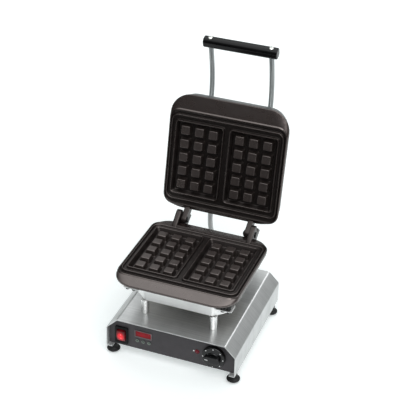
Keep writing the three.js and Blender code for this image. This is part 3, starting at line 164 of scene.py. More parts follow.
# %% Outlines drawn out
def prism(outline, axis, start, end, bevel=0.0, steps=2):
    """An outline drawn out along an axis. A bevel pulls the two end rings in a little."""
    center = [sum(values) / len(outline) for values in zip(*outline)]
    size = max(dist(point, center) for point in outline)
    levels = [(start, 0.0), (end, 0.0)]
    if bevel:
        angles = [pi / 2 * k / steps for k in range(steps + 1)]
        levels = [(start + bevel * (1 - cos(a)), bevel * (1 - sin(a))) for a in angles]
        levels += [(start + end - level, inset) for level, inset in reversed(levels)]
    rings = []
    for level, inset in levels:
        share = 1 - inset / size
        ring_points = []
        for u, v in outline:
            u, v = center[0] + (u - center[0]) * share, center[1] + (v - center[1]) * share
            ring_points.append({"x": (level, u, v), "y": (v, level, u), "z": (u, v, level)}[axis])
        rings.append(ring_points)
    return loft(rings)


print("with a bevel at its ends it has", len(prism(square, "z", 0, 1, 0.1)[1]), "faces")

# %% [markdown]
# ## Eased corners
# A round edge is what catches the light on sheet metal and on castings. So the corners of a
# profile are eased before its faces are made: each is replaced by a short curve that leaves
# one side and joins the next.


# %% Easing
def eased(stations, radii, steps=4):
    """Rounds the corners of a line of stations, each by its own radius. The last number of a
    station is its level, and the widest change among the others counts as its width."""
    done = []
    for i, radius in enumerate(radii):
        here = stations[i]
        if not radius or i in (0, len(stations) - 1):
            done.append(tuple(here))
            continue
        ends = []
        for other in (stations[i - 1], stations[i + 1]):
            spans = [b - a for a, b in zip(here, other)]
            reach = hypot(max(abs(v) for v in spans[:-1]), spans[-1])
            share = min(radius / max(reach, 1e-6), 0.5)
            ends.append([a + share * span for a, span in zip(here, spans)])
        for step in range(steps + 1):
            t = step / steps
            threes = zip(ends[0], here, ends[1])
            done.append(tuple((1 - t) ** 2 * a + 2 * t * (1 - t) * m + t * t * b for a, m, b in threes))
    return done


print("an eased corner has", len(eased([(0, 0), (5, 0), (5, 5)], [0, 2, 0])) - 2, "points")

# %% [markdown]
# ## From part to object
# One function turns parts into an object: it moves the drawn points into the frame, shades the
# faces smooth up to an angle, lets the object ride on its body and hides the CAD piece it
# stands for. An inlay is a second material with a test: faces whose middle passes the test, in
# the drawing's own coordinates, wear it.

# %% Meshes
WELD = 0.001


def mesh_from(parts, place, unit, inside=None):
    """One mesh from parts. Points closer than WELD millimetres become one."""
    bm = bmesh.new()
    for points, faces in parts:
        made = [bm.verts.new(place(point)) for point in points]
        for face in faces:
            new = bm.faces.new([made[i] for i in face])
            if inside:
                middle = sum((Vector(points[i]) for i in face), Vector()) / len(face)
                new.material_index = 1 if inside(middle) else 0
    bmesh.ops.remove_doubles(bm, verts=bm.verts, dist=WELD * unit)
    bmesh.ops.recalc_face_normals(bm, faces=bm.faces)
    mesh = bpy.data.meshes.new("part")
    bm.to_mesh(mesh)
    bm.free()
    return mesh


print("the test box welds into", len(mesh_from([box], Vector, 1).vertices), "points")


# %% Pieces
def shade(mesh, material, crease):
    """Smooth shading up to an angle in degrees, and the first material."""
    mesh.shade_smooth()
    mesh.set_sharp_from_angle(angle=radians(crease))
    mesh.materials.append(material)


def piece(name, parts, material, body, node=None, place=stand, crease=38, inlay=None):
    """Makes one piece of the machine from its drawn parts."""
    mesh = mesh_from(parts, place, MM, inlay and inlay[1])
    mesh.name = name
    shade(mesh, material, crease)
    if inlay:
        mesh.materials.append(inlay[0])
    made = add_object(name, mesh)
    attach(made, body)
    if node:
        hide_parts(node)
    print(name, len(mesh.polygons), "faces")


# %% [markdown]
# ## Colours and nodes
# Colours are written as the eye sees them, in sRGB hex, and one function makes them linear for
# the shader. Another adds a node to a material with its settings and its links, so that a
# material reads as a short recipe. Pattern sizes are given in millimetres.


# %% Colours and nodes
def linear(code):
    """sRGB hex to linear RGBA."""
    values = [int(code[i:i + 2], 16) / 255 for i in (1, 3, 5)]
    return [v / 12.92 if v <= 0.04045 else ((v + 0.055) / 1.055) ** 2.4 for v in values] + [1.0]


def add_node(material, kind, inputs=None, **settings):
    """Adds a node. An input given as a socket is linked, and any other value is set."""
    tree = material.node_tree
    made = tree.nodes.new(kind)
    for key, value in settings.items():
        setattr(made, key, value)
    for key, value in (inputs or {}).items():
        if isinstance(value, bpy.types.NodeSocket):
            tree.links.new(value, made.inputs[key])
        else:
            made.inputs[key].default_value = value
    return made


def new_material(name):
    """A material without nodes."""
    made = bpy.data.materials.new(name)
    made.use_nodes = True
    made.node_tree.nodes.clear()
    return made


print("the middle grey #808080 is", round(linear("#808080")[0], 3), "in linear light")


# %% Patterns
def cloudy(material, size, detail=2.0, stretch=(1, 1, 1), roughness=0.5):
    """A cloudy pattern in object space, whose features are so many millimetres wide. A stretch of 40
    along x draws it out into lines along x."""
    coords = add_node(material, "ShaderNodeTexCoord").outputs["Object"]
    mapping = {"Vector": coords, "Scale": [1 / s for s in stretch]}
    mapped = add_node(material, "ShaderNodeMapping", mapping).outputs["Vector"]
    noise = {"Vector": mapped, "Scale": 1 / (size * MM), "Detail": detail, "Roughness": roughness}
    return add_node(material, "ShaderNodeTexNoise", noise).outputs["Fac"]


print("features 1 mm wide need a noise scale of", round(1 / MM))


# %% Surfaces
noise_low, noise_high = 0.3, 0.7  # a cloudy pattern seldom leaves this span


def surface(material, tint, light, dark, gloss, roughness, bumps=(), **shader):
    """Dresses a material. One pattern mixes its two colours, another sets how rough it is between two
    numbers, and each bump is a pattern with its depth in millimetres and its strength. Further
    inputs of the shader are written with _ for a blank."""
    shares = []
    for pattern in (tint, gloss):
        span = {"Value": pattern, "From Min": noise_low, "From Max": noise_high}
        shares.append(add_node(material, "ShaderNodeMapRange", span).outputs["Result"])
    colours = {0: shares[0], 6: linear(light), 7: linear(dark)}
    inputs = {key.replace("_", " "): value for key, value in shader.items()}
    inputs["Base Color"] = add_node(material, "ShaderNodeMix", colours, data_type="RGBA").outputs[2]
    rough = {"Value": shares[1], "To Min": roughness[0], "To Max": roughness[1]}
    inputs["Roughness"] = add_node(material, "ShaderNodeMapRange", rough).outputs["Result"]
    for pattern, depth, strength in bumps:
        lift = {"Height": pattern, "Distance": depth * MM, "Strength": strength}
        if "Normal" in inputs:
            lift["Normal"] = inputs["Normal"]
        inputs["Normal"] = add_node(material, "ShaderNodeBump", lift).outputs["Normal"]
    principled = add_node(material, "ShaderNodeBsdfPrincipled", inputs)
    add_node(material, "ShaderNodeOutputMaterial", {"Surface": principled.outputs["BSDF"]})
    return material


print("a pattern counts from", noise_low, "to", noise_high)

# %% [markdown]
# ### Brushed stainless steel
# The base and the cover are folded from sheet that was brushed with an abrasive belt. The belt
# leaves fine parallel lines, about 0.2 mm apart. At this picture's size they would vanish, so
# they are drawn 0.8 to 1.8 mm apart. The lines blur a reflection far more across than along
# themselves, so each pillar is mirrored in the deck as an upright streak. The shader does that
# with its anisotropy: the lines run around one axis of the piece, and a quarter turn lays the
# blur across them. Fingers leave soft cloudy patches that are a little rougher than the rest.
# The tray's underside is painted shade: a darker, warm grey copy of its steel.

# %% Brushed steels
line_stretch = 120  # a brush line is so many times longer than wide
touched_mm = 60  # the width of a patch left by fingers


def brushed(name, around, light, dark, roughness, line_mm=1.0, uneven=0.8):
    """Steel with brush lines around one axis of the piece."""
    material = new_material(name)
    lines = cloudy(material, line_mm, 3, [1 if axis == around else line_stretch for axis in "xyz"])
    clouds = cloudy(material, touched_mm, 3)
    both = add_node(material, "ShaderNodeMath", {0: lines, 1: clouds}, operation="ADD").outputs[0]
    half = add_node(material, "ShaderNodeMath", {0: both, 1: 0.5}, operation="MULTIPLY").outputs[0]
    tangent = add_node(material, "ShaderNodeTangent", direction_type="RADIAL", axis=around.upper())
    return surface(
        material, half, light, dark, half, roughness, [(lines, 0.02, 0.35)], Metallic=1.0,
        Anisotropic=uneven, Anisotropic_Rotation=0.25, Tangent=tangent.outputs["Tangent"],
    )


stainless = brushed("brushed_stainless_sheet", "y", "#dcdcdc", "#b7b8b8", (0.35, 0.47), 1.8)
stainless_lid = brushed("brushed_stainless_cover", "x", "#d0d1d1", "#b7b9ba", (0.3, 0.4))
bright_steel = brushed("satin_steel_sheet", "z", "#efefee", "#e2e2e2", (0.36, 0.46), 1.2, 0.5)
turned_steel = brushed("turned_satin_steel", "z", "#f0f0ef", "#e8e8e7", (0.25, 0.28))
# The tray's underside: a darker copy of the satin steel, painted shade
steel_painted_shade = brushed("satin_steel_sheet_painted_shade", "z", "#c6c3bf", "#b0aca8", (0.42, 0.52), 1.2, 0.5)
rod_steel = brushed("drawn_satin_steel_rod", "z", "#979999", "#838687", (0.26, 0.36), 0.8, 0.5)
steels = (stainless, stainless_lid, bright_steel, turned_steel, steel_painted_shade, rod_steel)
print("steels", [material.name for material in steels])

# %% [markdown]
# ### Seasoned cast iron
# The baking plates are sand cast iron, rubbed with oil and baked until it turns into a hard
# brown-black film. The film hides the metal, so the surface is not metallic: it is dark and
# satin, with the fine grain of the moulding sand, about 0.6 mm, and a slow waviness. Under the
# thin film lies black iron oxide, whose index of about 2.4 mirrors much more light than a plastic
# does. The two together act like an index of about 1.9, so ridges that face the lamps show as
# bright lines. Inside the shoulder, below the crests, and on the hinge lugs the iron is painted
# shade: a darker copy that mirrors like a plain oil, with an index near 1.5. The blocks' flanks
# get a painted shade between the two. Their tops are a lighter copy, painted light. The grain is
# drawn at 0.9 mm to show.

# %% Cast iron
sand_mm, wave_mm, stain_mm = 0.9, 9, 26


def cast_iron(name, light, dark, roughness, index):
    """Cast iron under a film of baked oil."""
    material = new_material(name)
    grain = cloudy(material, sand_mm, 4, roughness=0.65)
    stains = cloudy(material, stain_mm, 3)
    waves = cloudy(material, wave_mm, 2)
    return surface(
        material, stains, light, dark, stains, roughness, [(waves, 0.5, 0.45), (grain, 0.12, 0.35)],
        IOR=index, Specular_Tint=linear("#fff0ec"),
    )


iron = cast_iron("seasoned_cast_iron", "#1e1614", "#150f0e", (0.24, 0.34), 1.92)
# Painted light on the block tops, painted shade on their flanks and, deeper, in the hollows and on the lugs
iron_painted_light = cast_iron("seasoned_cast_iron_painted_light", "#322c2a", "#272221", (0.26, 0.36), 1.9)
iron_flanks_painted_shade = cast_iron("seasoned_cast_iron_flank_painted_shade", "#221d1b", "#181412", (0.28, 0.38), 1.7)
iron_painted_shade = cast_iron("seasoned_cast_iron_painted_shade", "#151110", "#0e0b0a", (0.34, 0.44), 1.48)
print("irons", [m.name for m in (iron, iron_painted_light, iron_flanks_painted_shade, iron_painted_shade)])

# %% [markdown]
# ### Plastics, rubber and the rest
# The handle and the knob are moulded black phenolic, hard and glossy. The switch is red
# polycarbonate with a lamp behind it. The front panel is a printed polyester foil with a very
# fine matt grain. The feet are moulded rubber, which is nearly black and hardly shines. Metals
# keep the shader's own index, and the others have the one of their kind. A lower specular level
# keeps the black plastics as deep as they look.

# %% Plastics and rubber
mottle_mm = 18


def moulded(name, light, dark, roughness, grain_mm, depth_mm, **shader):
    """A plain material with a fine grain."""
    material = new_material(name)
    grain = cloudy(material, grain_mm, 3)
    patches = cloudy(material, mottle_mm, 2)
    return surface(material, patches, light, dark, grain, roughness, [(grain, depth_mm, 0.4)], **shader)


dull, mild = {"Specular_IOR_Level": 0.2}, {"Specular_IOR_Level": 0.3}
phenolic = moulded("black_phenolic", "#0c0c0d", "#060607", (0.14, 0.24), 0.8, 0.01, IOR=1.5, **dull)
polished_phenolic = moulded(
    "polished_black_phenolic", "#0a0a0b", "#050506", (0.06, 0.12), 3, 0.02, IOR=1.6, **mild
)
abs_black = moulded("black_abs", "#0b0b0c", "#060607", (0.45, 0.6), 0.5, 0.015, IOR=1.5, **dull)
rubber = moulded("black_rubber", "#0f0f10", "#0a0a0b", (0.55, 0.7), 0.7, 0.05, IOR=1.52, **mild)
foil = moulded(
    "matt_polyester_foil", "#343034", "#2e2b2e", (0.5, 0.62), 0.4, 0.012, IOR=1.57, Specular_IOR_Level=0.4
)
acrylic = moulded("dark_red_acrylic", "#8a0f1c", "#6a0a14", (0.12, 0.2), 2.5, 0.005, IOR=1.49, **dull)
lamp_red = moulded(
    "dim_red_polycarbonate", "#62101f", "#4c0c17", (0.2, 0.3), 2.5, 0.005, IOR=1.58, **dull
)
sheath = moulded("grey_silicone_sheath", "#c9cccc", "#b9bcbc", (0.35, 0.45), 1.0, 0.03, IOR=1.43)
board = moulded("glass_epoxy_board", "#1f5a36", "#184a2c", (0.3, 0.42), 0.6, 0.02, IOR=1.55)
ceramic = moulded("unglazed_steatite", "#e4dfd2", "#d8d2c4", (0.5, 0.65), 0.6, 0.03, IOR=1.6)
white_ink = moulded("white_screen_ink", "#e6e6e6", "#dadada", (0.45, 0.55), 0.4, 0.01)
symbol_ink = moulded("grey_green_ink", "#7f8c82", "#6f7c72", (0.45, 0.55), 0.4, 0.01)
plastics = (phenolic, polished_phenolic, abs_black, rubber, foil, acrylic, lamp_red, sheath)
print("plastics and rubber", [material.name for material in plastics])

# %% Other metals
anodised = moulded("satin_anodised_aluminium", "#776c6e", "#655b5d", (0.3, 0.4), 0.6, 0.01, Metallic=1.0)
screw_steel = moulded("zinc_plated_steel", "#dcdcd9", "#c8c8c4", (0.18, 0.28), 0.6, 0.01, Metallic=1.0)
copper = moulded("drawn_copper_tube", "#c07a52", "#a8653f", (0.25, 0.38), 0.8, 0.01, Metallic=1.0)
oxidised = moulded("oxidised_heater_sheath", "#5c5048", "#3f3833", (0.4, 0.55), 0.8, 0.03, Metallic=0.8)
# Black oxide is a mineral skin on the steel, so it isn't metallic to the eye
black_steel = moulded("black_oxide_steel", "#0c0c0d", "#060607", (0.2, 0.3), 0.6, 0.02, IOR=1.5, **mild)
print(len(bpy.data.materials), "materials so far")

# %% [markdown]
# ### The lit switch
# Two small lamps sit behind the red rocker. They make two bright spots, and the rest of the
# plastic glows less towards its edges. The glow is worked out from the distance to a point.

# %% Lit red plastic
foot_level = 22
switch_x, switch_z = -118, foot_level + 29.5


def glow(material, center, radius_x, radius_z):
    """1 at a point of the drawing and 0 beyond a distance from it, seen from the front."""
    scale = (1 / (radius_x * MM), 0, 1 / (radius_z * MM))
    coords = add_node(material, "ShaderNodeTexCoord").outputs["Object"]
    mapping = {"Vector": coords, "Scale": scale, "Location": [-m * s for m, s in zip(stand(center), scale)]}
    mapped = add_node(material, "ShaderNodeMapping", mapping).outputs["Vector"]
    length = add_node(material, "ShaderNodeVectorMath", {0: mapped}, operation="LENGTH").outputs["Value"]
    fall = {"Value": length, "From Min": 0.0, "From Max": 1.0, "To Min": 1.0, "To Max": 0.0}
    return add_node(material, "ShaderNodeMapRange", fall, interpolation_type="SMOOTHSTEP").outputs["Result"]


red_lens = new_material("lit_red_polycarbonate")
whole = glow(red_lens, (switch_x, 0, switch_z - 1), 14, 19)
spots = [glow(red_lens, (switch_x + 0.5, 0, switch_z + rise), 2.6, 3) for rise in (4.5, -5)]
both = add_node(red_lens, "ShaderNodeMath", {0: spots[0], 1: spots[1]}, operation="ADD").outputs[0]
light = add_node(red_lens, "ShaderNodeMath", {0: both, 1: 0.9, 2: whole}, operation="MULTIPLY_ADD").outputs[0]
strength = add_node(red_lens, "ShaderNodeMath", {0: light, 1: 0.42}, operation="MULTIPLY").outputs[0]
colours = {0: both, 6: linear("#ff2436"), 7: linear("#ff8a88")}
hot = add_node(red_lens, "ShaderNodeMix", colours, data_type="RGBA").outputs[2]
red_grain = cloudy(red_lens, 1.2, 3)
surface(
    red_lens, whole, "#4a0a10", "#c01824", red_grain, (0.16, 0.24), [(red_grain, 0.01, 0.4)],
    IOR=1.58, Specular_IOR_Level=0.25, Emission_Color=hot, Emission_Strength=strength,
)
print(red_lens.name, len(red_lens.node_tree.nodes), "nodes")

# %% [markdown]
# ## The base housing
# The housing is one sheet of 2 mm stainless steel with four long folds: two at the shoulders and
# two at the sides, and a flange turned in under each side. A box with a bevel would be solid and
# would hide that it is sheet. So the outline of the bent sheet is drawn, with a 3 mm radius
# outside each fold, and drawn out from front to back, as a fold is the same all along.

# %% Base housing
base_half, base_depth, side_top, deck_z = 150, 306, 73, 98
shoulder, sheet, flange = 25, 2, 14
fold_outside, fold_inside = 3.0, 1.0


def housing_outline(inset, radius):
    """The bent sheet's line from the left flange to the right one, moved in by a distance."""
    slope = inset * tan(pi / 8)
    half, top_half = base_half - inset, base_half - shoulder - slope
    low, side = foot_level + inset, side_top - slope
    corners = [(low, -half), (side, -half), (deck_z - inset, -top_half)]
    corners += [(z, -x) for z, x in reversed(corners)]
    line = [(low, flange - base_half)] + corners + [(low, base_half - flange)]
    done = []
    for i, here in enumerate(line):
        if 0 < i < len(line) - 1:
            done += eased([line[i - 1], here, line[i + 1]], [0, radius, 0], 5)[1:-1]
        else:
            done.append(here)
    return done


housing_sheet = housing_outline(0, fold_outside) + housing_outline(sheet, fold_inside)[::-1]
folded = prism(housing_sheet, "y", 0, base_depth)
piece("base_sheet", [folded], stainless, "base", "base_housing")

# %% [markdown]
# ## Feet, pillars and sleeve
# All three are turned, so they are rings around an axis, from a profile of radii and levels. A
# rubber foot is a low disc with a rounded rim under a narrower neck. The steel pillars have a
# small chamfer at each end, where a bright ring of light shows. Blender's own cylinder has sharp
# ends, and with a profile the chamfer comes in the same step.

# %% Turned parts
sides = ((-1, "left"), (1, "right"))
smallest_radius = 0.01  # a ring can't shrink to a point


def turned(profile, count=48, axis="z", at=(0, 0, 0)):
    """A turned part from pairs of radius and length along its axis."""
    turns = [2 * pi * i / count for i in range(count)]
    rings = []
    for radius, height in profile:
        radius = max(radius, smallest_radius)
        rings.append([(radius * cos(t), radius * sin(t), height) for t in turns])
    lean = {"z": Matrix(), "y": Matrix.Rotation(-pi / 2, 4, "X"), "x": Matrix.Rotation(pi / 2, 4, "Y")}
    return moved(loft(rings), Matrix.Translation(at) @ lean[axis])


print("a turned cylinder has", len(turned([(5, 0), (5, 10)])[1]), "faces")

# %% Feet
foot_x, foot_ends = 141, (("front", 18.5), ("rear", base_depth - 21))
foot_profile = eased(
    [
        (0, 0.0), (9.8, 0), (14.9, 3.8), (14.9, 6.4), (13.6, 7.2),
        (10.8, 8.6), (8.4, 11), (8.4, 21.7), (0, 21.7),
    ],
    [0, 1.0, 1.4, 0.8, 0.8, 1, 1.2, 0.5, 0],
)
stud_profile = [(0, 21.6), (4, 21.6), (4, 28), (3.2, 28.7), (0, 28.7)]
for side, side_name in sides:
    for end, y in foot_ends:
        at = (side * foot_x, y, 0)
        parts = [turned(foot_profile, 48, "z", at), turned(stud_profile, 24, "z", at)]
        name = f"foot_{end}_{side_name}"
        piece("rubber_" + name, parts, rubber, "base", name)

# %% Pillars and sleeve
tray_z = 134
pillar_x, pillar_ends = 79, (("front", 51), ("rear", 214))
low, high, chamfer = deck_z + 0.3, tray_z - 0.3, 1.1
pillar_profile = eased(
    [(0, low), (7.9, low), (9, low + chamfer), (9, high - chamfer), (7.9, high), (0, high)],
    [0, 0.3, 0.6, 0.6, 0.3, 0],
)
for side, side_name in sides:
    for end, y in pillar_ends:
        post = turned(pillar_profile, 64, "z", (side * pillar_x, y, 0))
        name = f"pillar_{end}_{side_name}"
        piece("steel_" + name, [post], turned_steel, "base", name)
sleeve_y, sleeve_wall = 170, [(10.5, low), (12, low), (12, high), (10.5, high)]
sleeve = turned(sleeve_wall, 40, "z", (0, sleeve_y, 0))
piece("wire_sleeve", [sleeve], turned_steel, "base", "wiring_sleeve")

# %% [markdown]
# ## The heater tray
# The tray under the lower baking plate is a bright steel box with cut corners. It is lofted from
# eight-sided outlines: up the outside, over the rim and down the inside. A thin box with a
# solidify modifier would do too, but the loft also rounds the rim and the edge below. A tab at
# each corner carries the plate's ears.

# %% The tray's outline
tray_half, tray_front, tray_back, tray_corner = 109.5, 44, 220, 30


def soft_outline(corners, radius, steps=5):
    """A flat outline whose corners are rounded by one radius, or by a radius each."""
    radii = radius if isinstance(radius, (list, tuple)) else [radius] * len(corners)
    done = []
    for i, here in enumerate(corners):
        around = [corners[i - 1], here, corners[(i + 1) % len(corners)]]
        done += eased(around, [0, radii[i], 0], steps)[1:-1] if radii[i] else [tuple(here)]
    return done


def tray_ring(inset, level, radius=5):
    """The tray's outline at a level, moved in by a distance."""
    half, front, far = tray_half - inset, tray_front + inset, tray_back - inset
    cut = tray_corner - inset * (2 - sqrt(2))
    corners = [
        (half - cut, front), (half, front + cut), (half, far - cut), (half - cut, far),
        (cut - half, far), (-half, far - cut), (-half, front + cut), (cut - half, front),
    ]
    return [(u, v, level) for u, v in soft_outline(corners, max(radius - inset, 0.5), 4)]


print("the tray's outline has", len(tray_ring(0, tray_z)), "points")

# %% Heater tray
tray_rim, tab_z, tab_x, bolt_gap = 184.5, 162.2, 124.5, 7
tray_levels = [(2.5, tray_z), (0.8, tray_z + 0.7), (0, tray_z + 2.5), (0, tray_rim - 0.4), (0.4, tray_rim)]
tray_levels += [(1.1, tray_rim), (1.5, tray_rim - 0.4), (1.5, tray_z + 3), (2.6, tray_z + 1.5)]
tray_parts = [loft([tray_ring(inset, level) for inset, level in tray_levels])]

# Each ear: its name, its side, its bolts' place from front to back, and where they are sideways
ears = [
    ("front_left", -1, 42, (-1, 1)), ("front_right", 1, 42, (-1, 1)),
    ("rear_left", -1, 221, (0,)), ("rear_right", 1, 221, (0,)),
]
for _, side, y, _ in ears:
    out, root = (-1, tray_front) if y < tray_back / 2 else (1, tray_back)
    corners = [
        (side * (tray_half - tray_corner), root - out * 1.5), (side * tray_half, root - out * tray_corner),
        (side * tab_x, y - out * 20), (side * tab_x, y + out * 8), (side * 87.5, y + out * 8),
    ]
    tray_parts.append(prism(soft_outline(corners, [0.5, 0.5, 3, 4, 4]), "z", tab_z, tab_z + 2, 0.3))


def on_underside(point):
    return point[2] < tray_z + 0.4


# The underside wears the darker steel as painted shade
tray_inlay = (steel_painted_shade, on_underside)
piece("steel_tray", tray_parts, bright_steel, "base", "heater_tray", inlay=tray_inlay)

# %% [markdown]
# ## The baking plates
# Both plates come from one pattern: a lip with wide round corners, a shoulder, a groove, a
# raised ridge around both moulds, a shallow moat, and two moulds of three by five blocks. The
# cast part is lofted through rounded rectangles, from the hollow back over the lip to the moat,
# because in a loft each step can have its own corner radius and its own slope.
# Each ring is six numbers: half width, front, back, corner radius and its level at the back and
# in front. Depths count down from the plane where the plates meet.

# %% The shell of a plate
corner_steps = 9


def ring(half, front, far, corner, rear_level, front_level, x=0.0):
    """Points around a rectangle with round corners, whose level may change from front to back."""
    done = []
    quarters = ((1, far - corner), (-1, far - corner), (-1, front + corner), (1, front + corner))
    for quarter, (sx, y) in enumerate(quarters):
        for step in range(corner_steps + 1):
            angle = (quarter + step / corner_steps) * pi / 2
            here = y + corner * sin(angle)
            level = front_level + (here - front) / (far - front) * (rear_level - front_level)
            done.append((x + sx * (half - corner) + corner * cos(angle), here, level))
    return done


def plate_shell(lip_front, lip_back):
    """The casting without its moulds, and the station at which the moat begins."""
    def lip(inset, depth):
        return (139.5 - inset, lip_front + inset, lip_back - inset, 48 - inset, -8.6 - depth, -13.5 - depth)

    def flat(line, grow, depth):
        half, front, far, corner = line
        return (half + grow, front - grow, far + grow, corner + grow, -depth, -depth)

    shoulder_line, ridge = (135.4, 22.5, 246, 21), (130.6, 33, 233, 15)
    stations = [
        flat((118, 40, 223, 39), 0, 22), flat((122, 36, 227, 39), 0, 40), flat((129, 29, 234, 46), 0, 40),
        lip(6, 8), lip(0, 5), lip(0, 0), flat(shoulder_line, 3.2, 8.2), flat(shoulder_line, 1.5, 6.0),
        flat(shoulder_line, -0.3, 6.0), flat(shoulder_line, -1.6, 8.0), flat(ridge, 2.4, 9.4),
        flat(ridge, 1.0, 3.7), flat(ridge, -1.0, 3.7), flat(ridge, -3, 8), flat(ridge, -5, 8),
    ]
    smooth = eased(stations, [0, 1, 2, 4, 1.8, 1.5, 1.0, 1.4, 0.9, 0.6, 1.2, 1.2, 1.2, 1.4, 0], 3)
    return loft([ring(*station) for station in smooth], (True, False)), smooth[-1]


print("each ring has", 4 * (corner_steps + 1), "points")

# %% Moulds
mould_x, mould_y, mould_half_x, mould_half_y = 64, 132.5, 56.5, 86.5


def mould_rings(x):
    """The low wall around one mould and the mould itself, down to its floor."""
    def wall(grow, corner, depth):
        reach = mould_half_y + grow
        return (mould_half_x + grow, mould_y - reach, mould_y + reach, corner, -depth, -depth)

    stations = [
        wall(4, 10, 8), wall(2.4, 8.4, 8), wall(0.9, 6.9, 2.5),
        wall(-0.9, 6, 2.5), wall(-5.8, 5.2, 14.5), wall(-8, 4, 14.5),
    ]
    return [ring(*station, x=x) for station in eased(stations, [0, 1.2, 0.8, 0.8, 2, 0], 3)]


print("one mould is", len(mould_rings(mould_x)), "rings deep")

# %% [markdown]
# ### The blocks
# A block stands on the mould's floor and tapers, so that what is baked lets go of it. It could be
# a cube with a bevel modifier. A loft through rounded squares gives the taper, the fillet at its
# foot and the round edge on top in one go.

# %% Blocks
blocks_y, pitch_x, pitch_y = 131, 33, 32


def rounded(width, height, radius, u=0, v=0, steps=6):
    """The outline of a rectangle with round corners."""
    done = []
    for quarter, (su, sv) in enumerate(((1, 1), (-1, 1), (-1, -1), (1, -1))):
        for step in range(steps + 1):
            angle = (quarter + step / steps) * pi / 2
            done.append((
                u + su * (width / 2 - radius) + radius * cos(angle),
                v + sv * (height / 2 - radius) + radius * sin(angle),
            ))
    return done


def block_part(x, y):
    """One tapered block with round edges, which presses one square pocket."""
    stations = [(13.6, 3, -15.2), (12.5, 2.4, -14.3), (9.5, 2, -2.5), (7.5, 1.2, -2.5)]
    rings = []
    for half, corner, level in eased(stations, [0, 1.6, 1.3, 0], 3):
        rings.append([(u, v, level) for u, v in rounded(2 * half, 2 * half, corner, x, y, 3)])
    return loft(rings, (False, True))


print("one block has", len(block_part(0, 0)[1]), "faces")

# %% [markdown]
# ### The moat and the whole plate
# The flat face between the ridge and the moulds has two holes, so it can't be a loft. Blender's
# triangle fill closes the space between its three loops. The loops are the same points as the
# ends of the lofts, so all of it welds into one skin.


# %% Both plates
def moat_part(outer, walls):
    """The moat's floor: the flat face between the ridge and the two moulds."""
    bm = bmesh.new()
    edges = []
    for loop in [outer] + walls:
        verts = [bm.verts.new(point) for point in loop]
        edges += [bm.edges.new((verts[i - 1], verts[i])) for i in range(len(verts))]
    bmesh.ops.triangle_fill(bm, use_beauty=True, use_dissolve=False, edges=edges)
    bm.verts.index_update()
    part = [tuple(v.co) for v in bm.verts], [tuple(v.index for v in face.verts) for face in bm.faces]
    bm.free()
    return part


def plate_parts(lip_front, lip_back):
    """One plate as one part, and its thirty blocks."""
    shell, last = plate_shell(lip_front, lip_back)
    moulds = [mould_rings(-mould_x), mould_rings(mould_x)]
    moat = moat_part(ring(*last), [rings[0] for rings in moulds])
    points, faces = [], []
    for part_points, part_faces in [shell, moat] + [loft(rings, (False, True)) for rings in moulds]:
        faces += [tuple(i + len(points) for i in face) for face in part_faces]
        points += part_points
    blocks = [
        block_part(side * mould_x + (column - 1) * pitch_x, blocks_y + (row - 2) * pitch_y)
        for side in (-1, 1) for column in range(3) for row in range(5)
    ]
    return (points, faces), blocks


lower_shell, lower_blocks = plate_parts(-6.5, 264)
upper_shell, upper_blocks = plate_parts(-14.5, 254)
print("a plate has", len(lower_shell[1]), "faces and", len(lower_blocks), "blocks")

# %% [markdown]
# ## Hinge lugs
# The lower plate has two outboard lugs that hold the pins, and a pad on each for the open lid to
# lean on. The upper plate's lugs turn on the pins, just inboard. The lower lip is notched where
# the upper lugs come down when the lid is closed, and that notch has to be really open. So one
# more function cuts a part with others.

# %% Outlines of the lugs
parting = 214.5
pin_z = hinge_z - parting
lug_radius, lug_play, lug_tip = 10, 0.5, (246, 36)


def hull_outline(points):
    return [points[i] for i in convex_hull_2d([Vector(p) for p in points])]


def circle(y, z, radius, count=40):
    turns = [2 * pi * i / count for i in range(count)]
    return [(y + radius * cos(t), z + radius * sin(t)) for t in turns]


def stop_outline():
    """The pad under the open lug, from the lug's own side line swung open."""
    far = opened(*lug_tip, pin_z)
    reach = hypot(far[0] - hinge_y, far[1] - pin_z)
    slope = atan2(far[1] - pin_z, far[0] - hinge_y) + asin(lug_radius / reach)
    clear, low = lug_radius + lug_play, pin_z - lug_radius
    start = (hinge_y + clear * sin(slope), pin_z - clear * cos(slope))
    run, rise = reach * cos(slope), reach * sin(slope)
    near, end = ((start[0] + share * run, start[1] + share * rise) for share in (0.12, 0.42))
    foot = [(266, -40), (266, low - 0.3), (hinge_y, low - 0.3)]
    return [near, end, (end[0] + 12, end[1] - 12), (near[0], low - 12)] + foot


pin_circle, clear_circle = (circle(hinge_y, pin_z, lug_radius + more) for more in (0, lug_play))
upper_lug = hull_outline(pin_circle + [(246, 12), (226, 36), lug_tip])
notch = hull_outline(clear_circle + [(245.5, 11.5), (226, 36), lug_tip])
high_circle = circle(hinge_y, pin_z + 13, lug_radius)
lower_lug = hull_outline(pin_circle + high_circle + [(240, -9.5), (226, -40), (266, -40)])
print("a lug's outline has", len(upper_lug), "points")


# %% Cutting
def carved(part, cutters):
    """A part with other parts cut out of it, by Blender's exact boolean."""
    scratch = [add_object("scratch", mesh_from(parts, Vector, 1)) for parts in ([part], cutters)]
    cut = scratch[0].modifiers.new("cut", "BOOLEAN")
    cut.operation, cut.solver, cut.object = "DIFFERENCE", "EXACT", scratch[1]
    whole = scratch[0].evaluated_get(bpy.context.evaluated_depsgraph_get())
    mesh = bpy.data.meshes.new_from_object(whole)
    result = [tuple(v.co) for v in mesh.vertices], [tuple(p.vertices) for p in mesh.polygons]
    for thing in scratch:
        bpy.data.objects.remove(thing)
    return result


def slab(outline, side, near, far, bevel=0.0, steps=2):
    """An outline drawn out sideways, between two distances from the machine's middle."""
    return prism(outline, "x", *sorted((side * near, side * far)), bevel, steps)


corner_box = moved(box, Matrix.Translation((0.5, 0.5, 0.5)))
print("a box with a corner cut out has", len(carved(box, [corner_box])[1]), "faces")

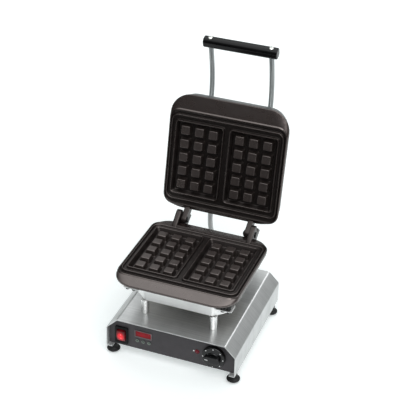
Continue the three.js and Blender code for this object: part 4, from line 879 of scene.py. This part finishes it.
# %% Lugs, ears and the notched plate
lug_near, lug_far, lug_inner, lug_outer, lug_edge = 70.5, 83.0, 83.6, 95.1, 4.4
lower_casting = carved(lower_shell, [slab(notch, side, lug_near - 0.6, lug_inner) for side, _ in sides])
lower_lugs, upper_lugs, ear_parts = [], [], []
for side, _ in sides:
    lower_lugs.append(slab(lower_lug, side, lug_inner, lug_outer, lug_edge, 6))
    pad = slab(stop_outline(), side, 73, lug_outer - 1)
    swing_space = slab(clear_circle, side, lug_near - 4, lug_inner)
    lower_lugs.append(carved(pad, [swing_space]))
    upper_lugs.append(slab(upper_lug, side, lug_near, lug_far, lug_edge, 6))
ear_profile = eased([(0, -50.0), (5.4, -50), (5.4, -20), (0, -20)], [0, 1.2, 0, 0])
for _, side, y, places in ears:
    ear_parts += [turned(ear_profile, 32, "z", (side * (tray_half + at * bolt_gap), y, 0)) for at in places]

over = Matrix.Rotation(pi, 4, "Y")
upper_casting = moved(upper_shell, over)
upper_blocks = [moved(part, over) for part in upper_blocks]
print("with its notches the lower plate has", len(lower_casting[1]), "faces")

# %% [markdown]
# ## The castings
# The parts of both plates are drawn from the plane where they meet, so they are lifted to it
# first. The painted shade is an inlay inside the shoulder line and below the crests: a darker
# iron that covers the moat, the grooves and the moulds. The flanks of the blocks are an inlay of
# painted shade too.


# %% Castings
def at_parting(point):
    return stand((point[0], point[1], point[2] + parting))


def at_parting_open(point):
    return swing((point[0], point[1], point[2] + parting))


# The hollows, whose faces wear the darker iron as painted shade
def in_painted_shade(point):
    x, y, depth = abs(point[0]), point[1], abs(point[2])
    return x < 134.5 and 23.5 < y < 246.5 and 4.2 < depth < 15


def on_flank(point):
    return 4.4 < abs(point[2]) < 15.3


mould_inlay, flank_inlay = (iron_painted_shade, in_painted_shade), (iron_flanks_painted_shade, on_flank)
cast_crease = 30
# The lugs wear the darker iron as painted shade, and the block tops the lighter one as painted light
for name, parts, material, body, node, inlay in (
    ("lower_casting", [lower_casting], iron, "base", "lower_baking_plate", mould_inlay),
    ("lower_lugs", lower_lugs, iron_painted_shade, "base", None, None),
    ("upper_lugs", upper_lugs, iron_painted_shade, "lid", None, None),
    ("lower_ears", ear_parts, black_steel, "base", None, None),
    ("lower_blocks", lower_blocks, iron_painted_light, "base", None, flank_inlay),
    ("upper_casting", [upper_casting], iron, "lid", "upper_baking_plate", mould_inlay),
    ("upper_blocks", upper_blocks, iron_painted_light, "lid", None, flank_inlay),
):
    place = at_parting if body == "base" else at_parting_open
    piece(name, parts, material, body, node, place, cast_crease, inlay)

# %% [markdown]
# ## Bolts and hinge pins
# The ears are held by black hexagon bolts from below the tabs. The hinge pins are blackened too,
# with a low domed head outside each hinge and a spring clip at the inner end. A thread would
# hardly show, so a bolt is a six-sided outline drawn out, with a turned washer and shank.

# %% Bolts
bolt_top = tab_z - 0.3


def hexagon(radius):
    return [(radius * cos(pi * k / 3), radius * sin(pi * k / 3)) for k in range(6)]


for ear_name, side, y, places in ears:
    for place in places:
        x = side * (tray_half + place * bolt_gap)
        outline = [(x + u, y + v) for u, v in soft_outline(hexagon(5.4), 0.6, 2)]
        head = prism(outline, "z", bolt_top - 5.5, bolt_top - 1.2, 0.6)
        rim = [(0, bolt_top - 1.3), (5.2, bolt_top - 1.3), (5.2, bolt_top), (0, bolt_top)]
        washer = turned(rim, 32, "z", (x, y, 0))
        stem = [(0, bolt_top - 1), (2.5, bolt_top - 1), (2.5, bolt_top + 15), (0, bolt_top + 15.4)]
        shank = turned(stem, 20, "z", (x, y, 0))
        name = f"plate_bolt_{ear_name}" + {-1: "_inner", 0: "", 1: "_outer"}[place]
        piece("hex_" + name, [head, washer, shank], black_steel, "base", name)

# %% Pins and clips
tail, head_seat, edge = lug_near - 4, lug_outer + 0.3, lug_near - 0.5
pin_profile = eased(
    [
        (0, tail), (4.2, tail), (5, tail + 0.8), (5, head_seat), (7.3, head_seat),
        (7.3, head_seat + 1.9), (5.3, head_seat + 2.9), (0, head_seat + 2.9),
    ],
    [0, 0.4, 0.4, 0, 0.4, 0.8, 1, 0],
)
clip_profile = [
    (5.3, edge - 1.5), (7.5, edge - 1.5), (7.9, edge - 1.1), (7.9, edge - 0.4), (7.5, edge), (5.3, edge),
]
for side, side_name in sides:
    for name, node, profile in (
        ("turned_pin", "hinge_pin", pin_profile),
        ("spring_clip", "pin_clip", clip_profile),
    ):
        part = turned([(r, side * x) for r, x in profile], 36, "x", (0, hinge_y, hinge_z))
        node_name = f"{node}_{side_name}"
        piece(f"{name}_{side_name}", [part], black_steel, "base", node_name)

# %% [markdown]
# ## The cover, the rods and the handle
# The cover on the lid's back is thin brushed sheet with soft edges. Two steel rods lie on it
# under straps, bend over its front edge and end in a black bar. Because the lid stands open, the
# cover faces back and only the edge of it shows from the front. A subdivided box would be soft
# all over. The cover is lofted through the same kind of rings as the plates, so that it follows
# their corners and each of its bends keeps its own radius.

# %% Cover
cover_z = 295


def cover_station(inset, front, back, corner, rear_level, front_level):
    """A station of the cover, by how far it is drawn in from the cover's widest line."""
    return (135.5 - inset, -12.5 + front, 248.0 - back, 48 - corner, rear_level, front_level)


cover_stations = [
    cover_station(1.2, 1.2, 1.2, 1.2, parting + 19.9, parting + 20.6),
    cover_station(0, 0, 0, 0, parting + 19.8, parting + 20.5),
    cover_station(4.6, 0, 0, 2.2, parting + 41, parting + 41),
    cover_station(18.5, 14, 3, 9, cover_z - 6, cover_z - 6),
    cover_station(25.5, 17.5, 6, 13, cover_z - 1.5, cover_z - 1.5),
    cover_station(32.5, 21, 12, 16, cover_z, cover_z),
    cover_station(40, 29, 20, 20, cover_z, cover_z),
]
cover_rings = [ring(*station) for station in eased(cover_stations, [0, 0.3, 8, 4, 3, 4, 0], 4)]
inner_lip = ring(*cover_station(1.3, 1.3, 1.3, 1.3, parting + 32, parting + 32))
cover = loft([inner_lip] + cover_rings, (False, True))
piece("sheet_cover", [cover], stainless_lid, "lid", "upper_cover", swing)

# %% [markdown]
# ### Bent rods
# A rod is round bar, straight along the cover and bent once towards the handle. A Blender curve
# with a bevel depth would do as well. Here its path is worked out as points and a tube is laid
# along it, so that the hose can be made by the same two helpers.


# %% Tubes
def bezier(p0, p1, p2, p3, steps):
    """Points of a curve that leaves p0 towards p1 and comes to p3 from p2."""
    shares = [i / steps for i in range(steps + 1)]
    p0, p1, p2, p3 = (Vector(p) for p in (p0, p1, p2, p3))
    weights = [((1 - t) ** 3, 3 * (1 - t) ** 2 * t, 3 * (1 - t) * t * t, t ** 3) for t in shares]
    return [a * p0 + b * p1 + c * p2 + d * p3 for a, b, c, d in weights]


def tube(path, radius, count=24):
    """A round bar along a path of points, with flat ends."""
    path = [Vector(point) for point in path]
    turns = [2 * pi * k / count for k in range(count)]
    across = Vector((1, 0, 0))
    rings = []
    for i, here in enumerate(path):
        along = (path[min(i + 1, len(path) - 1)] - path[max(i - 1, 0)]).normalized()
        across = (across - along * across.dot(along)).normalized()
        other = along.cross(across)
        rings.append([here + radius * (cos(t) * across + sin(t) * other) for t in turns])
    return loft(rings)


print("a short tube has", len(tube([(0, 0, 0), (0, 5, 0), (0, 10, 0)], 3)[1]), "faces")

# %% Rods
rod_radius, rod_x = 5.75, 70.6
rod_z = cover_z + rod_radius
grip_y, grip_z, grip_tilt = -133, parting + 42.9, radians(27)
grip_face, grip_pull = 3.3, 53.3  # where a rod leaves the bar, and how far it goes on straight
bend_y, bend_pull = 10, 48


def grip_point(along):
    """A point on the line on which the rods leave the bar."""
    return grip_y + along * cos(grip_tilt), grip_z + along * sin(grip_tilt)


for side, side_name in sides:
    x = side * rod_x
    start, pull = grip_point(grip_face), grip_point(grip_pull)
    path = bezier((x, *start), (x, *pull), (x, bend_y - bend_pull, rod_z), (x, bend_y, rod_z), 30)
    path += [Vector((x, y, rod_z)) for y in (40, 90, 140, 190, 203.8)]
    tip = [(x, y, rod_z) for y in (203.6, 204.6, 205)]
    parts = [tube(path, rod_radius, 32), tube(tip, rod_radius - 0.8, 32)]
    name = f"rod_{side_name}"
    piece("bent_" + name, parts, rod_steel, "lid", "handle_" + name, swing)

# %% [markdown]
# ## Straps and pan head screws
# A strap is a flat strip with a hump pressed into it over each rod. Seen along the rods it is one
# outline, so it is drawn out along them. Its screws have low round heads with a cross recess,
# which is cut with the same function as the notches.

# %% A strap
strap_half, strap_sheet, arc_steps = 98.0, 2.5, 12
strap_low = cover_z + 0.3
strap_top = strap_low + strap_sheet


def strap_outline():
    """A flat strap with a hump over each rod, as one closed outline."""
    over_rod, under_rod = rod_radius + 3, rod_radius + 0.5
    first = asin((strap_top - rod_z) / over_rod)
    upper, lower = [(strap_top, -strap_half)], [(strap_low, -strap_half)]
    for x in (-rod_x, rod_x):
        for k in range(arc_steps + 1):
            angle = pi - first - (pi - 2 * first) * k / arc_steps
            upper.append((rod_z + over_rod * sin(angle), x + over_rod * cos(angle)))
        lower.append((strap_low, x - under_rod))
        for k in range(arc_steps + 1):
            angle = pi * (1 - k / arc_steps)
            lower.append((rod_z + under_rod * sin(angle), x + under_rod * cos(angle)))
        lower.append((strap_low, x + under_rod))
    return upper + [(strap_top, strap_half), (strap_low, strap_half)] + lower[1:][::-1] + lower[:1]


print("the strap's outline has", len(strap_outline()), "points")


# %% A screw head
def pan_head(radius, height=2.6, slot=1.1):
    """A pan head with a cross recess, its seat at 0 and its top at height."""
    profile = [(0, 0.0), (radius, 0), (radius, height * 0.45), (radius * 0.55, height), (0, height)]
    head = turned(eased(profile, [0, 0.2, height * 0.4, radius * 0.3, 0]), 40)
    for width, length in ((radius * 1.1, slot), (slot, radius * 1.1)):
        arm = prism(rounded(width, length, 0.3, 0, 0, 2), "z", height - slot, height + 2)
        head = carved(head, [arm])
    return head


print("a screw head has", len(pan_head(4.2)[1]), "faces")

# %% Straps
seat, strap_screw_x, strap_reach = cover_z + 3.1, 88, 11
screw_stem = [(0, seat - 14), (2, seat - 13.5), (2, seat + 0.2), (0, seat + 0.2)]
for end, y in (("front", 30), ("rear", 185)):
    strap = prism(strap_outline(), "y", y - strap_reach, y + strap_reach)
    piece(f"pressed_strap_{end}", [strap], stainless_lid, "lid", f"rod_strap_{end}", swing)
    for side, side_name in sides:
        x = side * strap_screw_x
        head = moved(pan_head(4.2), Matrix.Translation((x, y, seat)))
        parts = [head, turned(screw_stem, 16, "z", (x, y, 0))]
        name = f"strap_screw_{end}_{side_name}"
        piece("pan_" + name, parts, screw_steel, "lid", name, swing)

# %% [markdown]
# ### The handle bar
# The bar is moulded in one piece, with wide round edges and flat ends whose rims are eased. It is
# a loft of rounded rectangles from one end to the other. It is drawn level and turned by 27
# degrees as a whole, with its two screws, so that they stay square to it.

# %% Handle bar and its screws
bar_face = -12.2
grip_frame = Matrix.Translation((0, grip_y, grip_z)) @ Matrix.Rotation(grip_tilt, 4, "X")
grip_width, grip_height, grip_corner = 24, 23, 9
grip_ends = [(-85.7, 9.0), (-85.7, 1.2), (-84.2, 0), (84.2, 0.0), (85.7, 1.2), (85.7, 9)]
grip_rings = []
for x, inset in eased(grip_ends, [0, 0.8, 1, 1, 0.8, 0], 3):
    corner = max(grip_corner - inset, 1.5)
    outline = rounded(grip_width - 2 * inset, grip_height - 2 * inset, corner, 0, 0, 8)
    grip_rings.append([tuple(grip_frame @ Vector((x, u, v))) for u, v in outline])
piece("handle_bar", [loft(grip_rings)], phenolic, "lid", "handle_grip", swing)
for side, side_name in sides:
    forward = Matrix.Translation((side * rod_x, bar_face, 0)) @ Matrix.Rotation(pi / 2, 4, "X")
    head = moved(pan_head(5.5), grip_frame @ forward)
    name = f"handle_screw_{side_name}"
    piece("pan_" + name, [head], screw_steel, "lid", name, swing)

# %% [markdown]
# ## The hose
# The lid's heater is fed through a smooth grey hose. It leaves the rear panel level, hangs in a
# bow and enters the cover's rear wall. A simulation could find that bow. One curve that leaves
# both ends straight gives it too, and is the same each time. The hose is drawn for the open lid
# only and rides on neither body. Turned fittings hold both ends.

# %% Hose
base_mouth, lid_mouth = Vector((-24, 294, 78)), Vector((-37, 248, parting + 60))
cap_length, hose_radius = 16.3, 5.8
base_pull, lid_pull = 0.170, 0.120  # metres that the hose goes on straight at each end
backwards = Vector((0, 1, 0))

hose_start = stand(base_mouth + backwards * cap_length)
hose_end = swing(lid_mouth + backwards * cap_length)
out = (hose_end - swing(lid_mouth)).normalized()
base_lead, lid_lead = hose_start + backwards * base_pull, hose_end + out * lid_pull
hose_path = bezier(hose_start, base_lead, lid_lead, hose_end, 60)
hose_length = sum((b - a).length for a, b in zip(hose_path, hose_path[1:]))
hose_mesh = mesh_from([tube(hose_path, hose_radius * MM)], Vector, MM)
shade(hose_mesh, sheath, 40)
hose = add_object("silicone_hose", hose_mesh)
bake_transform(hose)
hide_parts("lid_hose")
print("hose", round(hose_length / MM), "mm long")


# %% Fittings
def fitting(wall):
    """A panel fitting: a thread, a hexagon nut and a tapered cap."""
    profile = [(4, -wall - 8.3), (6.5, -wall - 8.3), (6.5, 5), (10, 5), (10, 9), (6.3, 16), (4, 16)]
    return [prism(hexagon(11), "z", 0.3, 5.3, 0.5), turned(eased(profile, [0, 0.4, 0, 0.6, 2, 0.6, 0]), 40)]


for body, mouth, wall, place in (("base", base_mouth, 2, stand), ("lid", lid_mouth, 1.2, swing)):
    turn = Matrix.Translation(mouth) @ Matrix.Rotation(-pi / 2, 4, "X")
    parts = [moved(part, turn) for part in fitting(wall)]
    piece(f"fitting_at_{body}", parts, screw_steel, body, f"hose_fitting_{body}", place)

# %% [markdown]
# ## The controls
# The panel is set back by 12 mm. From left to right it carries a red rocker in a black bezel, a
# small display over three buttons, a lamp, and a round knob with white marks on its skirt. Their
# marks could be painted by a texture. They are thin raised shapes, so that the exported mesh
# shows them too.

# %% Switch
panel_y = 12
rocker_half, rocker_tilt = 14.0, radians(8)


def framed(outer, inner, levels, x, z, edge):
    """A rim around an opening: up the outside, over the edge and down the inside to a floor. Both
    outlines are a width, a height and a corner radius. The levels are those of the front edge, of
    the rear edge and of the floor, counted from the panel's face."""
    front, rear, floor_y = (panel_y + level for level in levels)
    stations = [(0, 0, rear), (0, 0, front), (1, 1, front), (1, 1, floor_y)]
    rings = []
    for share, _, y in eased(stations, [0, edge, edge, 0], 3):
        width, height, corner = (a + share * (b - a) for a, b in zip(outer, inner))
        rings.append([(u, y, v) for u, v in rounded(width, height, corner, x, z, 5)])
    return loft(rings)


def printed(outline, lift, back_y):
    """A flat mark on the panel or on a cap, from an outline seen from the front."""
    return prism([(v, u) for u, v in outline], "y", panel_y - lift, back_y)


bezel = framed((31, 44, 3), (20.2, 31.4, 1.2), (-4.3, -0.2, 16), switch_x, switch_z, 1.2)
piece("switch_frame", [bezel], abs_black, "base", "switch_bezel")
pivot = Matrix.Translation((switch_x, panel_y - 3.3, switch_z)) @ Matrix.Rotation(rocker_tilt, 4, "X")
swap_yz = Matrix(((1, 0, 0, 0), (0, 0, 1, 0), (0, 1, 0, 0), (0, 0, 0, 1)))
profile = soft_outline(
    [(-rocker_half, 5.0), (-rocker_half, -3.2), (0, -5.4), (rocker_half, -3.2), (rocker_half, 5)],
    [0.5, 1.2, 6, 1.2, 0.5], 6,
)
rocker = moved(prism(profile, "x", -9.6, 9.6, 0.7, 3), pivot @ swap_yz)
piece("rocker", [rocker], red_lens, "rocker", "switch_rocker")

# %% Display
display_x, display_z = -67, foot_level + 43
rim = framed((41, 18.5, 2), (36, 13.5, 1), (-1.5, -0.2, 3), display_x, display_z, 0.5)
piece("display_rim", [rim], anodised, "base", "display_frame")
pane = [(z, x) for x, z in rounded(35.6, 13.1, 0.8, display_x, display_z, 4)]
window = prism(pane, "y", panel_y - 0.8, panel_y + 1.4, 0.2)
piece("display_glass", [window], acrylic, "base", "display_window")

# %% Buttons
button_z, button_pitch = foot_level + 24.5, 13.8
cap_profile = eased(
    [(0, -1.4), (3.2, -1.2), (3.8, -0.6), (3.8, 3.4), (5.2, 3.4), (5.2, 4.3), (0, 4.3)],
    [0, 0.6, 0.4, 0, 0, 0, 0],
)
minus, upright = (2.6, 0.7), (0.7, 2.6)
for number in (1, 2, 3):
    x = display_x + (number - 2) * button_pitch
    body = f"button_{number}"
    cap = turned(cap_profile, 32, "y", (x, panel_y, button_z))
    piece(f"button_cap_{number}", [cap], abs_black, body, f"timer_{body}")
    circle_mark = framed((7.3, 7.3, 3.6), (5.7, 5.7, 2.8), (-1.5, -1.2, -1.25), x, button_z, 0.05)
    arrow = [(x - 0.9, button_z + 1.4), (x + 1.5, button_z), (x - 0.9, button_z - 1.4)]
    bars = [rounded(w, h, 0.2, x, button_z, 2) for w, h in (minus, upright)]
    outlines = {1: bars[:1], 2: bars, 3: [arrow]}[number]
    marks = [circle_mark] + [printed(outline, 1.55, panel_y - 1.2) for outline in outlines]
    piece(f"button_symbol_{number}", marks, symbol_ink, body)

# %% Lamp
lamp_x, lamp_z, mark_x = 59, foot_level + 35.5, 50.9
lens_profile = [(0, 16), (4.2, 16), (4.2, -0.3), (4.2, -1.2), (2.6, -2.3), (0, -2.4)]
lens_profile = eased(lens_profile, [0, 0, 0, 0.5, 1, 0])
collar_profile = [(4.1, -0.2), (5.4, -0.2), (5.4, -1), (5.1, -1.3), (4.1, -1.3)]
parts = [turned(profile, 36, "y", (lamp_x, panel_y, lamp_z)) for profile in (lens_profile, collar_profile)]
piece("lamp_lens", parts, lamp_red, "base", "indicator_lamp")
mark = printed(rounded(3.4, 2.6, 1.2, mark_x, lamp_z, 4), 0.25, panel_y - 0.05)
piece("lamp_mark", [mark], white_ink, "base")

# %% Knob
knob_x, knob_z, mark_circle = 98, foot_level + 35.5, 22.6
skirt_back = panel_y - 0.5
skirt_profile = eased(
    [(0, 0.0), (26.5, 0), (26.5, 8), (25.2, 9.5), (15, 10.2), (13.5, 12), (0, 12)],
    [0, 0.4, 0.8, 0.8, 1.2, 0.8, 0],
)
skirt = turned([(r, -h) for r, h in skirt_profile], 96, "y", (knob_x, skirt_back, knob_z))
to_knob = Matrix.Translation((knob_x, skirt_back, knob_z)) @ Matrix.Rotation(pi / 2, 4, "X")
fin = moved(prism(rounded(37.6, 16, 7.8, 0, 0, 10), "z", 4.2, 19.9, 1.8, 4), to_knob)
piece("phenolic_knob", [skirt, fin], polished_phenolic, "knob", "thermostat_knob")
marks = []
for k in range(7):
    angle = radians(180 - 45 * k)
    at = (knob_x + mark_circle * cos(angle), skirt_back, knob_z + mark_circle * sin(angle))
    marks.append(turned([(0, -9.3), (1.5, -9.3), (1.4, -9.7), (0, -9.75)], 20, "y", at))
pointer = [(v, u) for u, v in rounded(7, 1.4, 0.6, knob_x - 11.5, knob_z, 3)]
marks.append(prism(pointer, "y", skirt_back - 19.95, skirt_back - 19.7))
piece("knob_marks", marks, white_ink, "knob")

# %% [markdown]
# ## Inside and behind
# The remaining pieces are flat plates or hardly show, so they keep the CAD shape. A bevel modifier
# eases their edges, so that they catch light, and each wears the material that such a piece
# really has.

# %% Pieces that keep the CAD shape
bevel_mm, bevel_from = 0.3, radians(40)
kept = {
    "front_panel": foil, "rear_panel": stainless, "bottom_plate": stainless,
    "lower_heating_element": oxidised, "upper_heating_element": oxidised, "timer_board": board,
    "thermostat_body": ceramic, "thermostat_shaft": turned_steel, "thermostat_probe": copper,
    "terminal_block": ceramic, "lid_terminal_block": ceramic, "cable_gland": abs_black,
}
for name, material in kept.items():
    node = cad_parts[name]
    node.data.materials.clear()
    node.data.materials.append(material)
    bevel = node.modifiers.new("edge", "BEVEL")
    bevel.width, bevel.segments = bevel_mm * MM, 2
    bevel.limit_method, bevel.angle_limit = "ANGLE", bevel_from
left = [name for name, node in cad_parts.items() if not node.hide_render and name not in kept]
print("CAD pieces still plain:", left)

# %% [markdown]
# ## Floor, world and light
# The machine stands on a plain pale floor. The world is white to the camera and even for the
# light that it sheds. In mirrors it looks like a studio: a large bright softbox overhead, darker
# walls, most of all at the left, so that round steel shows a dark and a light stripe, and hardly
# any light from low in front. A wide soft sun from the front right adds gentle shadows. Together
# they light a level surface by about one, so colours look as they are written.

# %% Floor
floor_material = new_material("pale_studio_floor")
fine = cloudy(floor_material, 3, 3)
surface(
    floor_material, fine, "#fbfefe", "#f8fbfb", fine, (0.85, 0.95), Specular_IOR_Level=0.1,
    Emission_Color=linear("#fbffff"), Emission_Strength=0.22,
)
floor_mesh = bpy.data.meshes.new("floor")
floor_mesh.from_pydata([(-2.6, -0.6, 0), (2.6, -0.6, 0), (2.6, 3.2, 0), (-2.6, 3.2, 0)], [], [(0, 1, 2, 3)])
floor_mesh.materials.append(floor_material)
floor = add_object("studio_floor", floor_mesh)
floor.location.z = -0.0005
print("floor", [round(size, 2) for size in floor.dimensions], "m")

# %% [markdown]
# ### What the mirrors see
# The world's light in mirrors is a product of soft steps. Each step goes from one brightness to
# another along one axis of the room. The Light Path node then tells which ray asks: the camera
# and glass get white, mirrors get the studio, and everything else gets the even light.

# %% World
world = bpy.data.worlds.new("studio")
bpy.context.scene.world = world
world.use_nodes = True
world.node_tree.nodes.clear()
direction = add_node(world, "ShaderNodeTexCoord").outputs["Generated"]
room = add_node(world, "ShaderNodeSeparateXYZ", {"Vector": direction}).outputs
steps = []
for axis, low, high, start, end in (
    ("Z", 0.5, 0.86, 0.42, 2.9),  # the softbox overhead
    ("X", -0.8, 0.3, 0.45, 1.0),  # the darker left wall
    ("Z", -0.1, 0.6, 0.1, 1.0),  # the dark low down
    ("Y", -0.3, 0.3, 0.0, 1.0),  # which is lifted at the back
):
    step = {"Value": room[axis], "From Min": low, "From Max": high, "To Min": start, "To Max": end}
    made = add_node(world, "ShaderNodeMapRange", step, interpolation_type="SMOOTHSTEP")
    steps.append(made.outputs["Result"])
overhead, side_shade, low_down, behind = steps
front_shade = add_node(world, "ShaderNodeMath", {0: low_down, 1: behind}, operation="MAXIMUM").outputs[0]
shaded = add_node(world, "ShaderNodeMath", {0: overhead, 1: side_shade}, operation="MULTIPLY").outputs[0]
mirror_light = add_node(world, "ShaderNodeMath", {0: shaded, 1: front_shade}, operation="MULTIPLY").outputs[0]
print(len(steps), "steps of brightness in the mirrors")

# %% Light for each kind of ray
sky = linear("#fbffff")
even_light, white_light = 0.75, 1.0
studio, even, white = (
    add_node(world, "ShaderNodeBackground", {"Color": sky, "Strength": strength}).outputs[0]
    for strength in (mirror_light, even_light, white_light)
)
ray = add_node(world, "ShaderNodeLightPath").outputs
kinds = {0: ray["Is Camera Ray"], 1: ray["Is Transmission Ray"]}
seen = add_node(world, "ShaderNodeMath", kinds, operation="MAXIMUM").outputs[0]
lit = add_node(world, "ShaderNodeMixShader", {0: ray["Is Glossy Ray"], 1: even, 2: studio}).outputs[0]
mixed = add_node(world, "ShaderNodeMixShader", {0: seen, 1: lit, 2: white}).outputs[0]
add_node(world, "ShaderNodeOutputWorld", {"Surface": mixed})
print("world", len(world.node_tree.nodes), "nodes")

# %% Lamp of the studio
sun_from, sun_strength, sun_width = Vector((0.55, -0.75, 1.1)), 1.1, radians(50)
sun = add_object("soft_sun", bpy.data.lights.new("soft_sun", "SUN"))
sun.data.energy, sun.data.angle = sun_strength, sun_width
sun.rotation_euler = sun_from.to_track_quat("Z", "Y").to_euler()
print("sun from", tuple(round(v, 2) for v in sun_from.normalized()))
